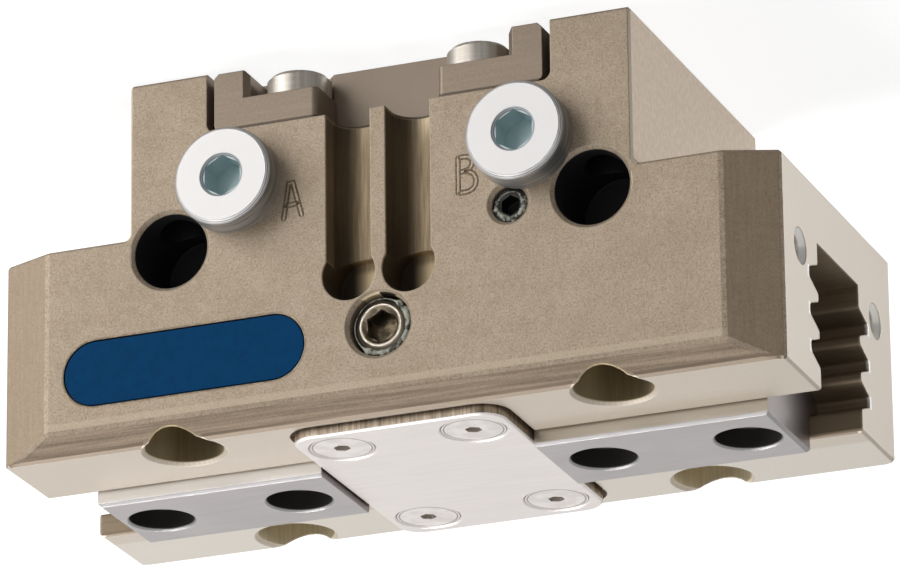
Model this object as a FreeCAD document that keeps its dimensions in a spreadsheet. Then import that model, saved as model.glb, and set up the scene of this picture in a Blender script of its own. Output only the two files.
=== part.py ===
import FreeCAD
import Part
import os
import Sketcher

from FreeCAD import Placement, Rotation, Vector

# Pneumatic parallel gripper with two base jaws.
# Frame: the origin is the centre of the mounting face, +Z points from there to the jaws,
# X is the jaw travel and the front with the air ports faces -Y. The jaws are closed.

TOOTH_COUNT = 3

DIMENSIONS = (
    ("body_length", 109.0, "housing length along the jaw travel"),
    ("body_depth", 50.0, "housing depth from front to back"),
    ("neck_width", 70.8, "length of the narrow cylinder end"),
    ("shoulder_wall", 8.1, "from the shoulder up to the guide floor"),
    ("shoulder_fillet", 1.0, "inner radius where the neck meets the shoulder"),
    ("corner_cut_length", 7.2, "upright corner chamfer, along the length"),
    ("corner_cut_depth", 2.9, "upright corner chamfer, along the depth"),
    ("rim_cut_height", 2.8, "long chamfer at the jaw face, its height"),
    ("rim_cut_depth", 2.4, "long chamfer at the jaw face, its depth"),
    ("edge_break", 0.35, "small chamfer on the housing's outer edges"),
    ("ring_lip", 1.2, "mounting face to the retaining ring"),
    ("ring_height", 1.6, "thickness of the retaining ring"),
    ("ring_width", 2.4, "width of the retaining ring's section"),
    ("ring_bite", 0.9, "how far the retaining ring reaches into its groove"),
    ("ring_opening", 9.0, "gap between the ends of the retaining ring"),
    ("cover_thickness", 4.2, "thickness of the cylinder cover"),
    ("cover_step", 0.6, "shoulder that the cylinder cover rests against"),
    ("end_gap", 0.3, "free space at both ends of the piston and wedge travel"),
    ("piston_height", 6.0, "height of the piston"),
    ("piston_stroke", 9.0, "travel of the piston"),
    ("partition_wall", 4.8, "wall between cylinder and wedge pocket"),
    ("wedge_pocket_depth", 2.6, "wedge pocket below the guide floor"),
    ("cylinder_front_wall", 5.1, "wall between cylinder and sensor pocket"),
    ("cylinder_end_wall", 7.4, "wall at the two ends of the cylinder"),
    ("seal_height", 1.5, "height of the oval seals"),
    ("seal_width", 1.6, "width of the oval seals"),
    ("seal_fit", 0.05, "play of each seal and sliding fit"),
    ("seal_land", 1.0, "piston rim beside each seal"),
    ("rod_diameter", 14.0, "piston rod diameter"),
    ("rod_seal_width", 2.6, "radial width of the rod seal"),
    ("rod_seal_height", 2.4, "height of the rod seal"),
    ("magnet_diameter", 4.0, "piston magnet diameter"),
    ("magnet_height", 3.0, "piston magnet height"),
    ("magnet_wall", 2.4, "piston rim in front of the magnets"),
    ("piston_screw_shank", 6.0, "shank of the piston screw"),
    ("piston_screw_head", 11.4, "countersunk head of the piston screw"),
    ("piston_screw_grip", 9.0, "thread of the piston screw inside the rod"),
    ("piston_screw_hex", 4.0, "hexagon socket of the piston screw"),
    ("guide_wall", 16.55, "housing wall on each side of the guide slot"),
    ("guide_edge", 0.6, "radius along the guide slot at the jaw face"),
    ("tooth_start", 5.1, "guide floor to the middle of the first tooth groove"),
    ("tooth_pitch", 5.1, "distance between tooth grooves"),
    ("tooth_mouth", 4.0, "tooth groove width at its mouth"),
    ("tooth_root", 1.4, "tooth groove width at its root"),
    ("tooth_depth", 3.5, "tooth groove depth"),
    ("tooth_round", 0.6, "radius on the tooth corners"),
    ("guide_lip", 3.1, "last tooth groove to the jaw face"),
    ("guide_clearance", 0.05, "play between jaw and guide"),
    ("jaw_stroke", 8.0, "travel of each base jaw"),
    ("jaw_end_inset", 7.3, "closed jaw end behind the housing end"),
    ("jaw_proud", 2.0, "jaw face above the housing"),
    ("jaw_floor_gap", 0.4, "space under the jaw"),
    ("jaw_center_gap", 2.0, "space between the closed jaws"),
    ("jaw_edge_break", 0.4, "chamfer on the jaw's outer edges"),
    ("jaw_hole_margin", 5.6, "jaw end to its outer finger hole"),
    ("jaw_hole_pitch", 20.0, "distance between the finger holes"),
    ("jaw_sleeve_diameter", 8.8, "seat for a centring sleeve"),
    ("jaw_sleeve_depth", 3.0, "depth of the sleeve seat"),
    ("jaw_thread_diameter", 5.0, "finger screw hole"),
    ("jaw_thread_depth", 12.0, "finger screw hole depth from the jaw face"),
    ("jaw_hole_rim", 0.25, "chamfer on the finger holes"),
    ("wedge_top_width", 15.0, "wedge width at its narrow top"),
    ("wedge_side_gap", 0.25, "wedge to the side walls of its pocket"),
    ("wedge_face_gap", 0.1, "play between wedge face and jaw face"),
    ("hook_neck_depth", 2.0, "depth of the hook slot's neck"),
    ("hook_head_depth", 2.5, "depth of the hook slot's head"),
    ("hook_neck_width", 5.2, "width of the hook slot's neck"),
    ("hook_head_width", 9.2, "width of the hook slot's head"),
    ("hook_clearance", 0.08, "play of the hook in its slot"),
    ("plate_width", 29.4, "cover plate size along the jaw travel"),
    ("plate_thickness", 2.5, "cover plate thickness"),
    ("plate_inset", 1.25, "cover plate depth in its pocket"),
    ("plate_edge", 5.8, "cover plate screw to the plate's front edge"),
    ("plate_screw_inset", 5.5, "cover plate screw to the plate's end"),
    ("plate_screw_wall", 3.25, "cover plate screw to the tooth root"),
    ("plate_corner", 3.5, "cover plate corner radius"),
    ("plate_pocket_gap", 0.6, "space around the cover plate"),
    ("plate_edge_break", 0.25, "chamfer on the cover plate's rim"),
    ("plate_screw_shank", 4.0, "shank of the cover plate screws"),
    ("plate_screw_head", 8.6, "head of the cover plate screws"),
    ("plate_screw_sink", 0.15, "screw head below the plate's face"),
    ("plate_screw_grip", 8.0, "thread of the cover plate screws"),
    ("plate_screw_hex", 2.0, "hexagon socket of the cover plate screws"),
    ("screw_fit", 0.05, "play of a screw in its hole"),
    ("head_fit", 0.1, "play of a countersunk head in its seat"),
    ("mount_edge_length", 5.4, "mounting hole to the neck's end face"),
    ("mount_edge_depth", 6.0, "mounting hole to the housing's front face"),
    ("mount_hole_diameter", 6.6, "mounting screw hole"),
    ("mount_head_diameter", 10.4, "counterbore of the mounting screws"),
    ("mount_head_depth", 12.0, "counterbore depth of the mounting screws"),
    ("hole_rim", 0.5, "chamfer on the larger holes"),
    ("side_hole_diameter", 10.4, "hole in the front for side mounting"),
    ("side_hole_depth", 12.0, "depth of the side mounting hole"),
    ("side_hole_edge", 5.8, "side mounting hole to the neck's end face"),
    ("side_hole_roof", 5.8, "side mounting hole to the guide floor"),
    ("port_spacing", 41.0, "distance between the air ports"),
    ("port_height", 16.35, "air ports above the mounting face"),
    ("port_diameter", 8.7, "air port hole"),
    ("port_depth", 9.0, "air port depth"),
    ("channel_diameter", 2.4, "air channel from port to cylinder"),
    ("low_channel_tilt", 62.0, "slope of the channel below the piston"),
    ("high_channel_tilt", 45.0, "slope of the channel above the piston"),
    ("channel_reach", 1.0, "length of each channel past the cylinder wall"),
    ("plug_collar_diameter", 13.6, "collar of the port plugs"),
    ("plug_collar_height", 4.1, "height of the plug collar"),
    ("plug_edge_break", 0.5, "chamfer on the plug collar"),
    ("plug_shank_length", 7.0, "threaded length of the port plugs"),
    ("plug_hex", 5.0, "hexagon socket of the port plugs"),
    ("plug_hex_depth", 4.2, "depth of the plugs' hexagon socket"),
    ("plug_lead_in", 0.4, "chamfer at the mouth of that socket"),
    ("plug_seal_height", 1.0, "seal ring in the plug collar"),
    ("plug_seal_width", 1.5, "section width of the plug seal"),
    ("purge_offset", 18.2, "purge screw from the middle"),
    ("purge_height", 24.85, "purge screw above the mounting face"),
    ("purge_screw_diameter", 4.9, "purge screw diameter"),
    ("purge_screw_length", 5.0, "purge screw length"),
    ("purge_screw_sink", 0.9, "purge screw below the front face"),
    ("purge_screw_hex", 2.5, "hexagon socket of the purge screw"),
    ("cap_screw_drop", 11.6, "cap screw below the jaw face"),
    ("cap_screw_shank", 4.0, "shank of the cap screw"),
    ("cap_screw_head", 7.8, "head of the cap screw"),
    ("cap_screw_edge", 1.0, "chamfer on the head of the cap screw"),
    ("cap_screw_head_height", 4.0, "head height of the cap screw"),
    ("cap_screw_grip", 6.6, "thread of the cap screw"),
    ("cap_screw_hex", 4.0, "hexagon socket of the cap screw"),
    ("cap_screw_lead_in", 0.5, "chamfer at the mouth of that socket"),
    ("cap_screw_sink", 0.6, "cap screw head below the front face"),
    ("cap_bore_diameter", 8.6, "counterbore of the cap screw"),
    ("label_length", 34.4, "label recess length"),
    ("label_height", 9.2, "label recess height"),
    ("label_edge", 9.7, "label recess to the housing end"),
    ("label_drop", 10.5, "label recess middle below the jaw face"),
    ("label_recess", 0.5, "label recess depth"),
    ("label_gap", 0.2, "space around the label"),
    ("label_thickness", 0.4, "label thickness"),
    ("sensor_pocket_width", 48.6, "width of the sensor bracket pocket"),
    ("sensor_pocket_height", 8.5, "height of the sensor bracket pocket"),
    ("sensor_pocket_depth", 6.9, "depth of the sensor bracket pocket"),
    ("sensor_pocket_corner", 1.3, "corner radius of that pocket"),
    ("groove_width", 6.3, "sensor groove width"),
    ("groove_depth", 5.6, "sensor groove depth"),
    ("groove_rib", 2.1, "rib between the sensor grooves"),
    ("groove_end_height", 31.2, "sensor groove end above the mounting face"),
    ("groove_end_diameter", 7.5, "widened end of the sensor groove"),
    ("groove_end_depth", 7.0, "depth of the widened end"),
    ("bracket_wall_gap", 1.1, "bracket to the pocket's side wall"),
    ("bracket_back_gap", 0.4, "bracket to the pocket's back wall"),
    ("bracket_length", 14.7, "sensor bracket length"),
    ("bracket_block_length", 4.9, "raised end of the sensor bracket"),
    ("bracket_step_height", 4.2, "bracket step above the mounting face"),
    ("bracket_top_inset", 0.3, "raised end below the mounting face"),
    ("bracket_corner", 1.0, "radius on the bracket's lower outer corner"),
    ("bracket_edge_break", 0.6, "chamfer on top of the bracket's raised end"),
    ("bracket_nose", 0.8, "radius on the bracket's free front corner"),
    ("bracket_bevel", 0.8, "chamfer on the raised end's inner front edge"),
    ("bracket_screw_reach", 10.4, "bracket screw to the bracket's outer end"),
    ("bracket_screw_depth", 4.4, "bracket screw behind the front face"),
    ("bracket_screw_head", 8.6, "head of the bracket screws"),
    ("bracket_screw_head_height", 3.1, "head height of the bracket screws"),
    ("bracket_screw_edge", 0.6, "chamfer on the head of the bracket screws"),
    ("bracket_screw_shank", 3.0, "shank of the bracket screws"),
    ("bracket_screw_grip", 6.0, "thread of the bracket screws"),
    ("bracket_screw_hex", 2.5, "hexagon socket of the bracket screws"),
    ("end_hole_diameter", 3.4, "tapped hole in the housing ends"),
    ("end_hole_depth", 8.0, "depth of those holes"),
    ("end_hole_rim", 0.8, "chamfer on those holes"),
    ("end_hole_rise", 2.8, "those holes above the guide floor"),
    ("end_hole_wall", 3.3, "those holes to the tooth root"),
)

DERIVED = (
    ("half_length", "size.body_length / 2"),
    ("half_depth", "size.body_depth / 2"),
    ("half_neck", "size.neck_width / 2"),
    ("cover_bottom", "size.ring_lip + size.ring_height"),
    ("chamber_floor", "cover_bottom + size.cover_thickness"),
    ("piston_bottom", "chamber_floor + size.end_gap"),
    ("piston_top", "piston_bottom + size.piston_height"),
    ("chamber_top", "piston_top + size.piston_stroke + size.end_gap"),
    ("pocket_floor", "chamber_top + size.partition_wall"),
    ("guide_floor", "pocket_floor + size.wedge_pocket_depth"),
    ("tooth_stack", f"size.tooth_pitch * {TOOTH_COUNT - 1} + size.tooth_mouth / 2"),
    ("body_height", "guide_floor + size.tooth_start + tooth_stack + size.guide_lip"),
    ("shoulder_height", "guide_floor - size.shoulder_wall"),
    ("half_gap", "half_depth - size.guide_wall"),
    ("tooth_reach", "half_gap + size.tooth_depth"),
    ("tooth_lean", "(size.tooth_mouth - size.tooth_root) / 2"),
    ("tooth_trim", "size.guide_clearance * (sqrt(size.tooth_depth ^ 2 + tooth_lean ^ 2)"
                   " - tooth_lean) / size.tooth_depth"),
    ("bore_half_depth", "half_depth - size.sensor_pocket_depth - size.cylinder_front_wall"),
    ("bore_half_length", "half_neck - size.cylinder_end_wall"),
    ("plate_bottom", "body_height - size.plate_inset"),
    ("plate_top", "plate_bottom + size.plate_thickness"),
    ("plate_half_width", "size.plate_width / 2"),
    ("plate_screw_x", "plate_half_width - size.plate_screw_inset"),
    ("plate_screw_y", "tooth_reach + size.plate_screw_wall"),
    ("plate_half_depth", "plate_screw_y + size.plate_edge"),
    ("plate_hole", "size.plate_screw_shank + 4 * size.head_fit"),
    ("plate_countersink", "size.plate_screw_head + 2 * size.plate_screw_sink + 2 * size.head_fit"),
    ("wedge_slope", "size.jaw_stroke / size.piston_stroke"),
    ("wedge_bottom", "pocket_floor + size.end_gap"),
    ("wedge_top", "plate_bottom - size.end_gap - size.piston_stroke"),
    ("wedge_half_top", "size.wedge_top_width / 2"),
    ("wedge_half_bottom", "wedge_half_top + wedge_slope * (wedge_top - wedge_bottom)"),
    ("wedge_depth", "2 * (half_gap - size.wedge_side_gap)"),
    ("hook_depth", "size.hook_neck_depth + size.hook_head_depth"),
    ("jaw_bottom", "guide_floor + size.jaw_floor_gap"),
    ("jaw_top", "body_height + size.jaw_proud"),
    ("jaw_outer", "half_length - size.jaw_end_inset"),
    ("jaw_inner", "size.jaw_center_gap / 2"),
    ("jaw_half_gap", "half_gap - size.guide_clearance"),
    ("jaw_face_top", "wedge_half_top + size.wedge_face_gap"),
    ("jaw_face_end", "wedge_top + (jaw_face_top - jaw_inner) / wedge_slope"),
    ("hook_end", "wedge_top + (wedge_half_top - hook_depth - jaw_inner) / wedge_slope"),
    ("jaw_strip_inner", "plate_half_width + size.end_gap"),
    ("jaw_hole_outer", "jaw_outer - size.jaw_hole_margin"),
    ("jaw_hole_inner", "jaw_hole_outer - size.jaw_hole_pitch"),
    ("mount_x", "half_neck - size.mount_edge_length"),
    ("mount_y", "half_depth - size.mount_edge_depth"),
    ("side_hole_x", "half_neck - size.side_hole_edge"),
    ("side_hole_z", "guide_floor - size.side_hole_roof"),
    ("port_x", "size.port_spacing / 2"),
    ("bore_wall_y", "sqrt(bore_half_depth ^ 2 - (port_x + bore_half_depth - bore_half_length) ^ 2)"),
    ("port_wall", "half_depth - size.port_depth - bore_wall_y"),
    ("cap_screw_z", "body_height - size.cap_screw_drop"),
    ("cap_bore_depth", "size.cap_screw_head_height + size.cap_screw_sink"),
    ("label_x", "half_length - size.label_edge - size.label_length / 2"),
    ("label_z", "body_height - size.label_drop"),
    ("pocket_half_width", "size.sensor_pocket_width / 2"),
    ("pocket_back", "half_depth - size.sensor_pocket_depth"),
    ("groove_x", "(size.groove_rib + size.groove_width) / 2"),
    ("groove_axis", "half_depth - size.groove_depth + size.groove_width / 2"),
    ("bracket_outer", "pocket_half_width - size.bracket_wall_gap"),
    ("bracket_inner", "bracket_outer - size.bracket_length"),
    ("bracket_block", "bracket_outer - size.bracket_block_length"),
    ("bracket_screw_x", "bracket_outer - size.bracket_screw_reach"),
    ("bracket_screw_y", "size.bracket_screw_depth - half_depth"),
    ("end_hole_y", "tooth_reach + size.end_hole_wall"),
    ("end_hole_z", "guide_floor + size.end_hole_rise"),
)

PLANES = ("XY_Plane", "XZ_Plane", "YZ_Plane")
TOP_VIEW, FRONT_VIEW, END_VIEW = PLANES
FACING_FRONT = Rotation(Vector(1, 0, 0), 90)
FACING_DOWN = Rotation(Vector(1, 0, 0), 180)
SQUARE_CHAMFER = 45.0
SHARP_ANGLE = 0.1
NEAR = 1e-3

doc = FreeCAD.newDocument("parallel_gripper")


def fill_sheet(name, rows):
    """A sheet with one aliased cell per row."""
    sheet = doc.addObject("Spreadsheet::Sheet", name)
    for index, row in enumerate(rows, start=1):
        sheet.set(f"A{index}", row[0])
        sheet.set(f"B{index}", row[1])
        sheet.setAlias(f"B{index}", row[0])
        if len(row) > 2:
            sheet.set(f"C{index}", row[2])
    doc.recompute()
    return sheet


sizes = fill_sheet("size", [(alias, str(value), note) for alias, value, note in DIMENSIONS])
fill_sheet("derived", [(alias, "=" + formula) for alias, formula in DERIVED])


def value(expression):
    return float(sizes.evalExpression(expression))


def minus(expression):
    return f"-({expression})"


def new_body(label):
    body = doc.addObject("PartDesign::Body", "Body_" + label)
    body.Label = label
    return body


def sketch_on(body, name, plane, offset=None):
    """An empty sketch on one of the body's origin planes, moved along the plane's normal."""
    sketch = body.newObject("Sketcher::SketchObject", name)
    support = next(item for item in body.Origin.OriginFeatures if item.Role == plane)
    sketch.AttachmentSupport = [(support, "")]
    sketch.MapMode = "FlatFace"
    if offset:
        sketch.setExpression("AttachmentOffset.Base.z", offset)
    return sketch


def pin(sketch, geometry, vertex, x, y):
    """Hold one point of the sketch at bound coordinates."""
    for kind, axis, expression in (("DistanceX", -2, x), ("DistanceY", -1, y)):
        if expression == "0":
            sketch.addConstraint(Sketcher.Constraint("PointOnObject", geometry, vertex, axis))
        else:
            distance = Sketcher.Constraint(kind, -1, 1, geometry, vertex, value(expression))
            index = sketch.addConstraint(distance)
            sketch.setExpression(f"Constraints[{index}]", expression)


def dimension(sketch, kind, geometry, expression):
    index = sketch.addConstraint(Sketcher.Constraint(kind, geometry, value(expression)))
    sketch.setExpression(f"Constraints[{index}]", expression)


def polygon(sketch, corners):
    """A closed outline of straight lines through bound corners."""
    points = [Vector(value(x), value(y), 0) for x, y in corners]
    first = sketch.GeometryCount
    count = len(points)
    lines = [Part.LineSegment(points[i], points[(i + 1) % count]) for i in range(count)]
    sketch.addGeometry(lines)
    joins = [
        Sketcher.Constraint("Coincident", first + i, 2, first + (i + 1) % count, 1)
        for i in range(count)
    ]
    sketch.addConstraint(joins)
    for i, (x, y) in enumerate(corners):
        pin(sketch, first + i, 1, x, y)


def rectangle(sketch, low_x, low_y, high_x, high_y):
    polygon(sketch, [(low_x, low_y), (high_x, low_y), (high_x, high_y), (low_x, high_y)])


def circle(sketch, x, y, diameter):
    shape = Part.Circle(Vector(value(x), value(y), 0), Vector(0, 0, 1), value(diameter) / 2)
    index = sketch.addGeometry(shape)
    pin(sketch, index, 3, x, y)
    dimension(sketch, "Diameter", index, diameter)


def stadium(sketch, half_length, half_height, x="0", y="0"):
    """An oval of two half circles and two straight sides."""
    reach = f"{half_length} - ({half_height})"
    left, right = f"{x} - ({reach})", f"{x} + {reach}"
    radius = value(half_height)
    ends = [Vector(value(left), value(y), 0), Vector(value(right), value(y), 0)]
    rise = Vector(0, radius, 0)
    quarter = 1.5707963267948966
    circles = [Part.Circle(end, Vector(0, 0, 1), radius) for end in ends]
    first = sketch.GeometryCount
    sketch.addGeometry([
        Part.LineSegment(ends[0] + rise, ends[1] + rise),
        Part.ArcOfCircle(circles[1], -quarter, quarter),
        Part.LineSegment(ends[1] - rise, ends[0] - rise),
        Part.ArcOfCircle(circles[0], quarter, 3 * quarter),
    ])
    top, right_arc, bottom, left_arc = range(first, first + 4)
    sketch.addConstraint([
        Sketcher.Constraint("Tangent", top, 2, right_arc, 2),
        Sketcher.Constraint("Tangent", right_arc, 1, bottom, 1),
        Sketcher.Constraint("Tangent", bottom, 2, left_arc, 2),
        Sketcher.Constraint("Tangent", left_arc, 1, top, 1),
    ])
    pin(sketch, right_arc, 3, right, y)
    pin(sketch, left_arc, 3, left, y)
    dimension(sketch, "Radius", right_arc, half_height)
    dimension(sketch, "Radius", left_arc, half_height)


def hexagon(sketch, width):
    """A hexagon about the sketch's origin, given by its width across flats."""
    half, corner = f"{width} / 2", f"{width} / sqrt(3)"
    polygon(sketch, [
        ("0", corner), (minus(half), f"{corner} / 2"), (minus(half), minus(f"{corner} / 2")),
        ("0", minus(corner)), (half, minus(f"{corner} / 2")), (half, f"{corner} / 2"),
    ])


def extrude(body, kind, sketch, length=None, symmetric=False, backwards=False, taper=0.0):
    """A pad or pocket of a sketch. With no length a pocket goes right through."""
    feature = body.newObject("PartDesign::" + kind, sketch.Name + kind)
    feature.Profile = sketch
    feature.SideType = "Symmetric" if symmetric else "One side"
    feature.Reversed = backwards
    if length:
        feature.setExpression("Length", length)
    else:
        feature.Type = "ThroughAll"
    feature.TaperAngle = taper
    return feature


def pad(body, sketch, length, **options):
    return extrude(body, "Pad", sketch, length, **options)


def pocket(body, sketch, length=None, **options):
    """A pocket, compared with the solid before it so that it can't cut nothing."""
    doc.recompute()
    before = body.Shape.Volume
    feature = extrude(body, "Pocket", sketch, length, **options)
    doc.recompute()
    if not feature.Shape.Volume < before:
        raise RuntimeError(f"{feature.Name} removes nothing")
    return feature


def drill(body, name, plane, offset, spots, diameter, depth=None, rim=None, backwards=False):
    """Equal round holes, with a chamfered mouth where rim is given."""
    sketch = sketch_on(body, name, plane, offset)
    for x, y in spots:
        circle(sketch, x, y, diameter)
    pocket(body, sketch, depth, backwards=backwards)
    if rim:
        mouth = sketch_on(body, name + "Rim", plane, offset)
        for x, y in spots:
            circle(mouth, x, y, f"{diameter} + 2 * {rim}")
        pocket(body, mouth, rim, backwards=backwards, taper=-SQUARE_CHAMFER)


def both_signs(x, y):
    """The four mirror images of a point."""
    return [(x, y), (minus(x), y), (minus(x), minus(y)), (x, minus(y))]


def straight_edges(feature, direction, test):
    """Names of the straight edges along a direction whose middle passes a test."""
    doc.recompute()
    names = []
    for index, edge in enumerate(feature.Shape.Edges, start=1):
        if edge.Curve.TypeId != "Part::GeomLine":
            continue
        if abs(abs(edge.Curve.Direction.dot(direction)) - 1) > NEAR:
            continue
        if test(edge.CenterOfMass):
            names.append(f"Edge{index}")
    return names


def sharp_edges(feature):
    """Names of the edges where two faces meet at a clear angle."""
    doc.recompute()
    names = []
    for index, edge in enumerate(feature.Shape.Edges, start=1):
        middle = edge.valueAt((edge.FirstParameter + edge.LastParameter) / 2)
        normals = []
        for face in feature.Shape.ancestorsOfType(edge, Part.Face):
            normals.append(face.normalAt(*face.Surface.parameter(middle)))
        if normals[0].getAngle(normals[1]) > SHARP_ANGLE:
            names.append(f"Edge{index}")
    return names


ALONG_X, ALONG_Y, ALONG_Z = Vector(1, 0, 0), Vector(0, 1, 0), Vector(0, 0, 1)


def at(number, expression):
    return abs(abs(number) - value(expression)) < NEAR


def dress(body, kind, edges, size):
    """A fillet or chamfer on named edges of the body's last feature."""
    base = body.Tip
    feature = body.newObject("PartDesign::" + kind, f"{body.Name}_{kind}_{base.Name}")
    feature.Base = (base, edges)
    feature.setExpression("Radius" if kind == "Fillet" else "Size", size)
    doc.recompute()
    return feature


def revolve(body, name, corners):
    """A turned solid about Z from a half outline of radius and height."""
    sketch = sketch_on(body, name, FRONT_VIEW)
    polygon(sketch, corners)
    feature = body.newObject("PartDesign::Revolution", name + "Turn")
    feature.Profile = sketch
    feature.ReferenceAxis = (sketch, ["V_Axis"])
    feature.Angle = 360
    return feature


def hex_socket(body, name, width, depth, top=None, lead_in=None):
    """A hexagon socket cut down from the top of a turned piece, with a conical mouth if asked."""
    sketch = sketch_on(body, name, TOP_VIEW, top)
    hexagon(sketch, width)
    pocket(body, sketch, depth)
    if lead_in:
        mouth = sketch_on(body, name + "Mouth", TOP_VIEW, top)
        circle(mouth, "0", "0", f"2 * {width} / sqrt(3) + {lead_in}")
        pocket(body, mouth, lead_in, taper=-SQUARE_CHAMFER)


def place(item, x="0", y="0", z="0", rotation=Rotation()):
    item.Placement = Placement(Vector(), rotation)
    for axis, expression in (("x", x), ("y", y), ("z", z)):
        item.setExpression("Placement.Base." + axis, expression)


def mirrored(item, normal, label):
    """The mirror image of a piece in a plane through the origin."""
    image = doc.addObject("Part::Mirroring", "Mirror_" + label)
    image.Source = item
    image.Normal = normal
    image.Label = label
    return image


def group(label, items):
    """Separate equal solids that share one node."""
    compound = doc.addObject("Part::Compound", "Group_" + label)
    compound.Links = items
    compound.Label = label
    return compound


def tooth_outline(side, reach, floor, top, tip, trim):
    """One toothed side of the guide, from the floor to the top."""
    corners = [(f"{side} * ({reach})", floor)]
    mouth = f"(size.tooth_mouth / 2 - {trim})"
    root = f"(size.tooth_root / 2 - {trim})"
    for index in range(TOOTH_COUNT):
        middle = f"derived.guide_floor + size.tooth_start + {index} * size.tooth_pitch"
        corners += [
            (f"{side} * ({reach})", f"{middle} - {mouth}"),
            (f"{side} * ({tip})", f"{middle} - {root}"),
            (f"{side} * ({tip})", f"{middle} + {root}"),
            (f"{side} * ({reach})", f"{middle} + {mouth}"),
        ]
    corners.append((f"{side} * ({reach})", top))
    return corners


def toothed_section(sketch, reach, floor, top, tip, trim):
    right = tooth_outline(1, reach, floor, top, tip, trim)
    left = tooth_outline(-1, reach, floor, top, tip, trim)
    polygon(sketch, right + left[::-1])


def round_teeth(body, reach, tip, low, high):
    """Small radii on the long tooth corners between two heights."""
    def is_tooth_corner(point):
        beside = at(point.y, reach) or at(point.y, tip)
        return beside and value(low) + NEAR < point.z < value(high) - NEAR
    edges = straight_edges(body.Tip, ALONG_X, is_tooth_corner)
    dress(body, "Fillet", edges, "size.tooth_round")


def shape_housing_outside(body):
    """The T-shaped block with its chamfered corners and edges."""
    outline = sketch_on(body, "HousingOutline", FRONT_VIEW)
    half, neck = "derived.half_length", "derived.half_neck"
    shoulder, top = "derived.shoulder_height", "derived.body_height"
    polygon(outline, [
        (minus(neck), "0"), (neck, "0"), (neck, shoulder), (half, shoulder), (half, top),
        (minus(half), top), (minus(half), shoulder), (minus(neck), shoulder),
    ])
    pad(body, outline, "size.body_depth", symmetric=True)

    inner = straight_edges(
        body.Tip, ALONG_Y, lambda point: at(point.x, neck) and at(point.z, shoulder))
    dress(body, "Fillet", inner, "size.shoulder_fillet")

    corners = sketch_on(body, "HousingCorners", TOP_VIEW)
    depth = "derived.half_depth"
    for side in ("1", "-1"):
        for front in ("1", "-1"):
            polygon(corners, [
                (f"{side} * {half}", f"{front} * {depth}"),
                (f"{side} * ({half} - size.corner_cut_length)", f"{front} * {depth}"),
                (f"{side} * {half}", f"{front} * ({depth} - size.corner_cut_depth)"),
            ])
    pocket(body, corners, symmetric=True)

    rims = sketch_on(body, "HousingRims", END_VIEW)
    for front in ("1", "-1"):
        polygon(rims, [
            (f"{front} * {depth}", top),
            (f"{front} * {depth}", f"{top} - size.rim_cut_height"),
            (f"{front} * ({depth} - size.rim_cut_depth)", top),
        ])
    pocket(body, rims, symmetric=True)

    dress(body, "Chamfer", sharp_edges(body.Tip), "size.edge_break")


def cut_guide(body):
    """The toothed slot for the jaws, the wedge pocket and the cover plate's seat."""
    top = "derived.body_height"
    slot = sketch_on(body, "GuideSlot", END_VIEW)
    toothed_section(
        slot, "derived.half_gap", "derived.guide_floor", f"{top} + size.jaw_proud",
        "derived.tooth_reach", "0")
    pocket(body, slot, symmetric=True)
    round_teeth(body, "derived.half_gap", "derived.tooth_reach", "derived.guide_floor", top)
    lips = straight_edges(
        body.Tip, ALONG_X, lambda point: at(point.y, "derived.half_gap") and at(point.z, top))
    dress(body, "Fillet", lips, "size.guide_edge")

    well = sketch_on(body, "WedgePocket", TOP_VIEW, "derived.guide_floor")
    reach = "derived.wedge_half_bottom + size.end_gap"
    rectangle(
        well, minus(reach), minus("derived.half_gap"), reach, "derived.half_gap")
    pocket(body, well, "size.wedge_pocket_depth")

    seat = sketch_on(body, "PlatePocket", TOP_VIEW, top)
    half_width = "derived.plate_half_width + size.plate_pocket_gap"
    half_depth = "derived.plate_half_depth + size.plate_pocket_gap"
    rectangle(seat, minus(half_width), minus(half_depth), half_width, half_depth)
    pocket(body, seat, "size.plate_inset")
    corners = straight_edges(
        body.Tip, ALONG_Z, lambda point: at(point.x, half_width) and at(point.y, half_depth))
    dress(body, "Fillet", corners, "size.plate_corner + size.plate_pocket_gap")

    drill(
        body, "PlateThreads", TOP_VIEW, "derived.plate_bottom",
        both_signs("derived.plate_screw_x", "derived.plate_screw_y"),
        "size.plate_screw_shank + 2 * size.screw_fit",
        "size.plate_screw_grip + size.end_gap")


def cut_cylinder(body):
    """The oval cylinder from the mounting face, the rod hole and the rod seal's groove."""
    length, depth = "derived.bore_half_length", "derived.bore_half_depth"
    bore = sketch_on(body, "CylinderBore", TOP_VIEW)
    stadium(bore, length, depth)
    pocket(body, bore, "derived.chamber_top", backwards=True)

    seat = sketch_on(body, "CoverSeat", TOP_VIEW)
    stadium(seat, f"{length} + size.cover_step", f"{depth} + size.cover_step")
    pocket(body, seat, "derived.chamber_floor", backwards=True)

    ring = sketch_on(body, "RingGroove", TOP_VIEW, "size.ring_lip")
    bite = "size.cover_step + size.ring_bite"
    stadium(ring, f"{length} + {bite}", f"{depth} + {bite}")
    pocket(body, ring, "size.ring_height", backwards=True)

    drill(
        body, "RodHole", TOP_VIEW, "derived.chamber_top", [("0", "0")],
        "size.rod_diameter + 2 * size.seal_fit", "size.partition_wall", backwards=True)
    drill(
        body, "RodSealGroove", TOP_VIEW, "derived.chamber_top + size.seal_land", [("0", "0")],
        "size.rod_diameter + 2 * size.rod_seal_width", "size.rod_seal_height", backwards=True)


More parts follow.
